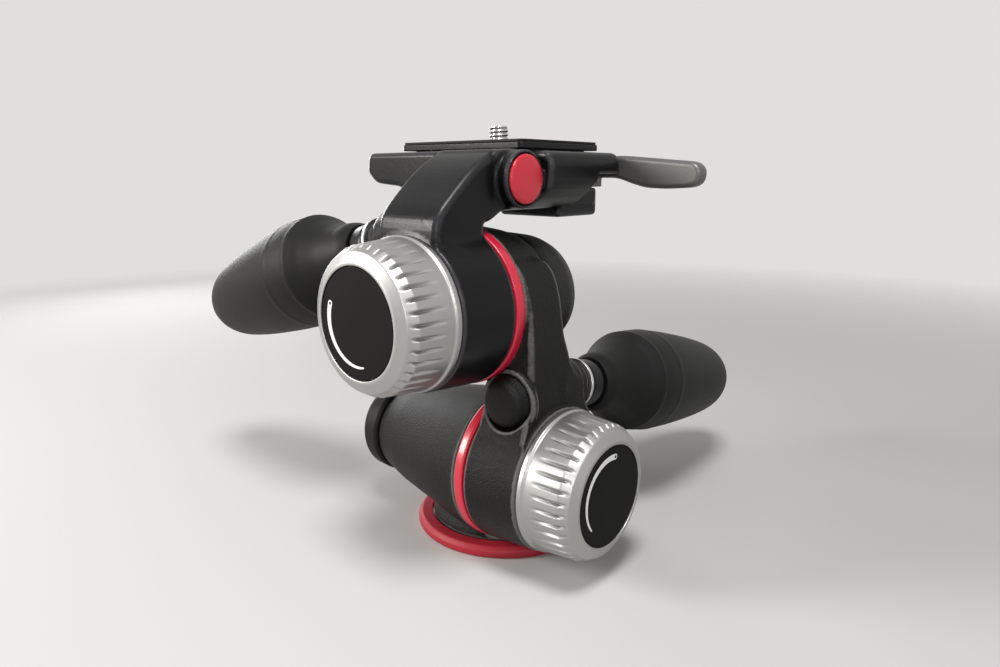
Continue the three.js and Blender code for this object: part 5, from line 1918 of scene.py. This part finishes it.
def floor_material():
    """A pale floor that fades out far from the head."""
    finish = Finish("pale_floor")
    colour = tuple(bpy.context.scene.head_studio.floor)
    base = finish.mix(finish.noise(300.0, 2.0) * 0.2, colour, shade(colour, 0.97))
    diffuse = finish.node("ShaderNodeBsdfDiffuse", {}, {"Color": base}, "BSDF")
    clear = finish.node("ShaderNodeBsdfTransparent")
    distance = finish.node("ShaderNodeVectorMath", {"operation": "LENGTH"}, {0: finish.place}, "Value")
    far = finish.band(distance, *FLOOR_FADE)
    return finish.finished(finish.node("ShaderNodeMixShader", {}, {0: far, 1: diffuse, 2: clear}))


def make_floor():
    """A round floor under the head."""
    work = bmesh.new()
    bmesh.ops.create_circle(work, cap_ends=True, segments=FLOOR_SIDES, radius=FLOOR_RADIUS)
    floor = finished_mesh("floor", work)
    floor.data.materials.append(floor_material())


def soft_lamp(name, place, size, power, colour):
    """A round soft lamp that shines at the head."""
    lamp = bpy.data.lights.new(name, "AREA")
    lamp.shape = "DISK"
    lamp.size = size
    lamp.energy = power
    lamp.color = colour
    holder = linked(name, lamp)
    holder.location = place
    holder.rotation_euler = (Vector(LAMP_AIM) - Vector(place)).to_track_quat("-Z", "Y").to_euler()


def make_world():
    """A pale backdrop that lights the head a little, and shows in full to the camera and in gloss."""
    world = bpy.data.worlds.new("studio")
    world.use_nodes = True
    tree = Tree(world.node_tree)
    ray = tree.node("ShaderNodeLightPath", output=None)
    seen = tree.maths("MAXIMUM", ray["Is Camera Ray"], ray["Is Transmission Ray"])
    strength = BACKDROP_LIGHT + tree.maths("MAXIMUM", seen, ray["Is Glossy Ray"]) * BACKDROP_SEEN
    backdrop = tree.node("ShaderNodeBackground", {}, {"Color": BACKDROP_COLOUR, "Strength": strength})
    tree.node("ShaderNodeOutputWorld", {}, {"Surface": backdrop}, None)
    bpy.context.scene.world = world


def make_camera(settings):
    """The camera that sees the head as the photograph does."""
    camera = bpy.data.cameras.new("camera")
    camera.sensor_width = SENSOR_WIDTH
    camera.lens = settings.lens
    camera.clip_start = CAMERA_CLIP
    holder = linked("camera", camera)
    holder.location = settings.camera_place
    holder.rotation_euler = Euler(settings.camera_turn)
    bpy.context.scene.camera = holder


class HEAD_OT_studio(bpy.types.Operator):
    """Makes the floor, the lamps, the world and the camera"""

    bl_idname = "pan_head.studio"
    bl_label = "Studio"

    def execute(self, context):
        settings = context.scene.head_studio
        make_floor()
        for name, place, size, power, share, colour in LAMPS:
            soft_lamp(name, place, size, share * getattr(settings, power), colour)
        make_world()
        make_camera(settings)
        context.scene.view_settings.view_transform = "Standard"
        return {"FINISHED"}


OPERATORS = (
    HEAD_OT_studio, HEAD_OT_inner_pieces, HEAD_OT_rings, HEAD_OT_pan_housing, HEAD_OT_lock_knob,
    HEAD_OT_tilt_arm, HEAD_OT_platform, HEAD_OT_friction_knobs, HEAD_OT_handles, HEAD_OT_badge,
    HEAD_OT_lever, HEAD_OT_camera_plate, HEAD_OT_levels,
)


class HEAD_PT_panel(bpy.types.Panel):
    """Lists the head's pieces in the sidebar"""

    bl_label = "Pan Tilt Head"
    bl_idname = "HEAD_PT_panel"
    bl_space_type = "VIEW_3D"
    bl_region_type = "UI"
    bl_category = "Pan Tilt Head"

    def draw(self, context):
        for settings in (context.scene.head_shape, context.scene.head_finish, context.scene.head_studio):
            column = self.layout.column(align=True)
            for name in settings.__annotations__:
                column.prop(settings, name)
        for operator in OPERATORS:
            self.layout.operator(operator.bl_idname)


SETTINGS = {
    "head_shape": HeadShapeSettings, "head_finish": HeadFinishSettings, "head_studio": HeadStudioSettings,
}


def register():
    for kind in (*SETTINGS.values(), *OPERATORS, HEAD_PT_panel):
        bpy.utils.register_class(kind)
    for name, kind in SETTINGS.items():
        setattr(bpy.types.Scene, name, bpy.props.PointerProperty(type=kind))


def unregister():
    for name in SETTINGS:
        delattr(bpy.types.Scene, name)
    for kind in (HEAD_PT_panel, *reversed(OPERATORS), *reversed(tuple(SETTINGS.values()))):
        bpy.utils.unregister_class(kind)


def main():
    register()
    for operator in OPERATORS:
        category, name = operator.bl_idname.split(".")
        getattr(getattr(bpy.ops, category), name)()


if __name__ == "__main__":
    main()
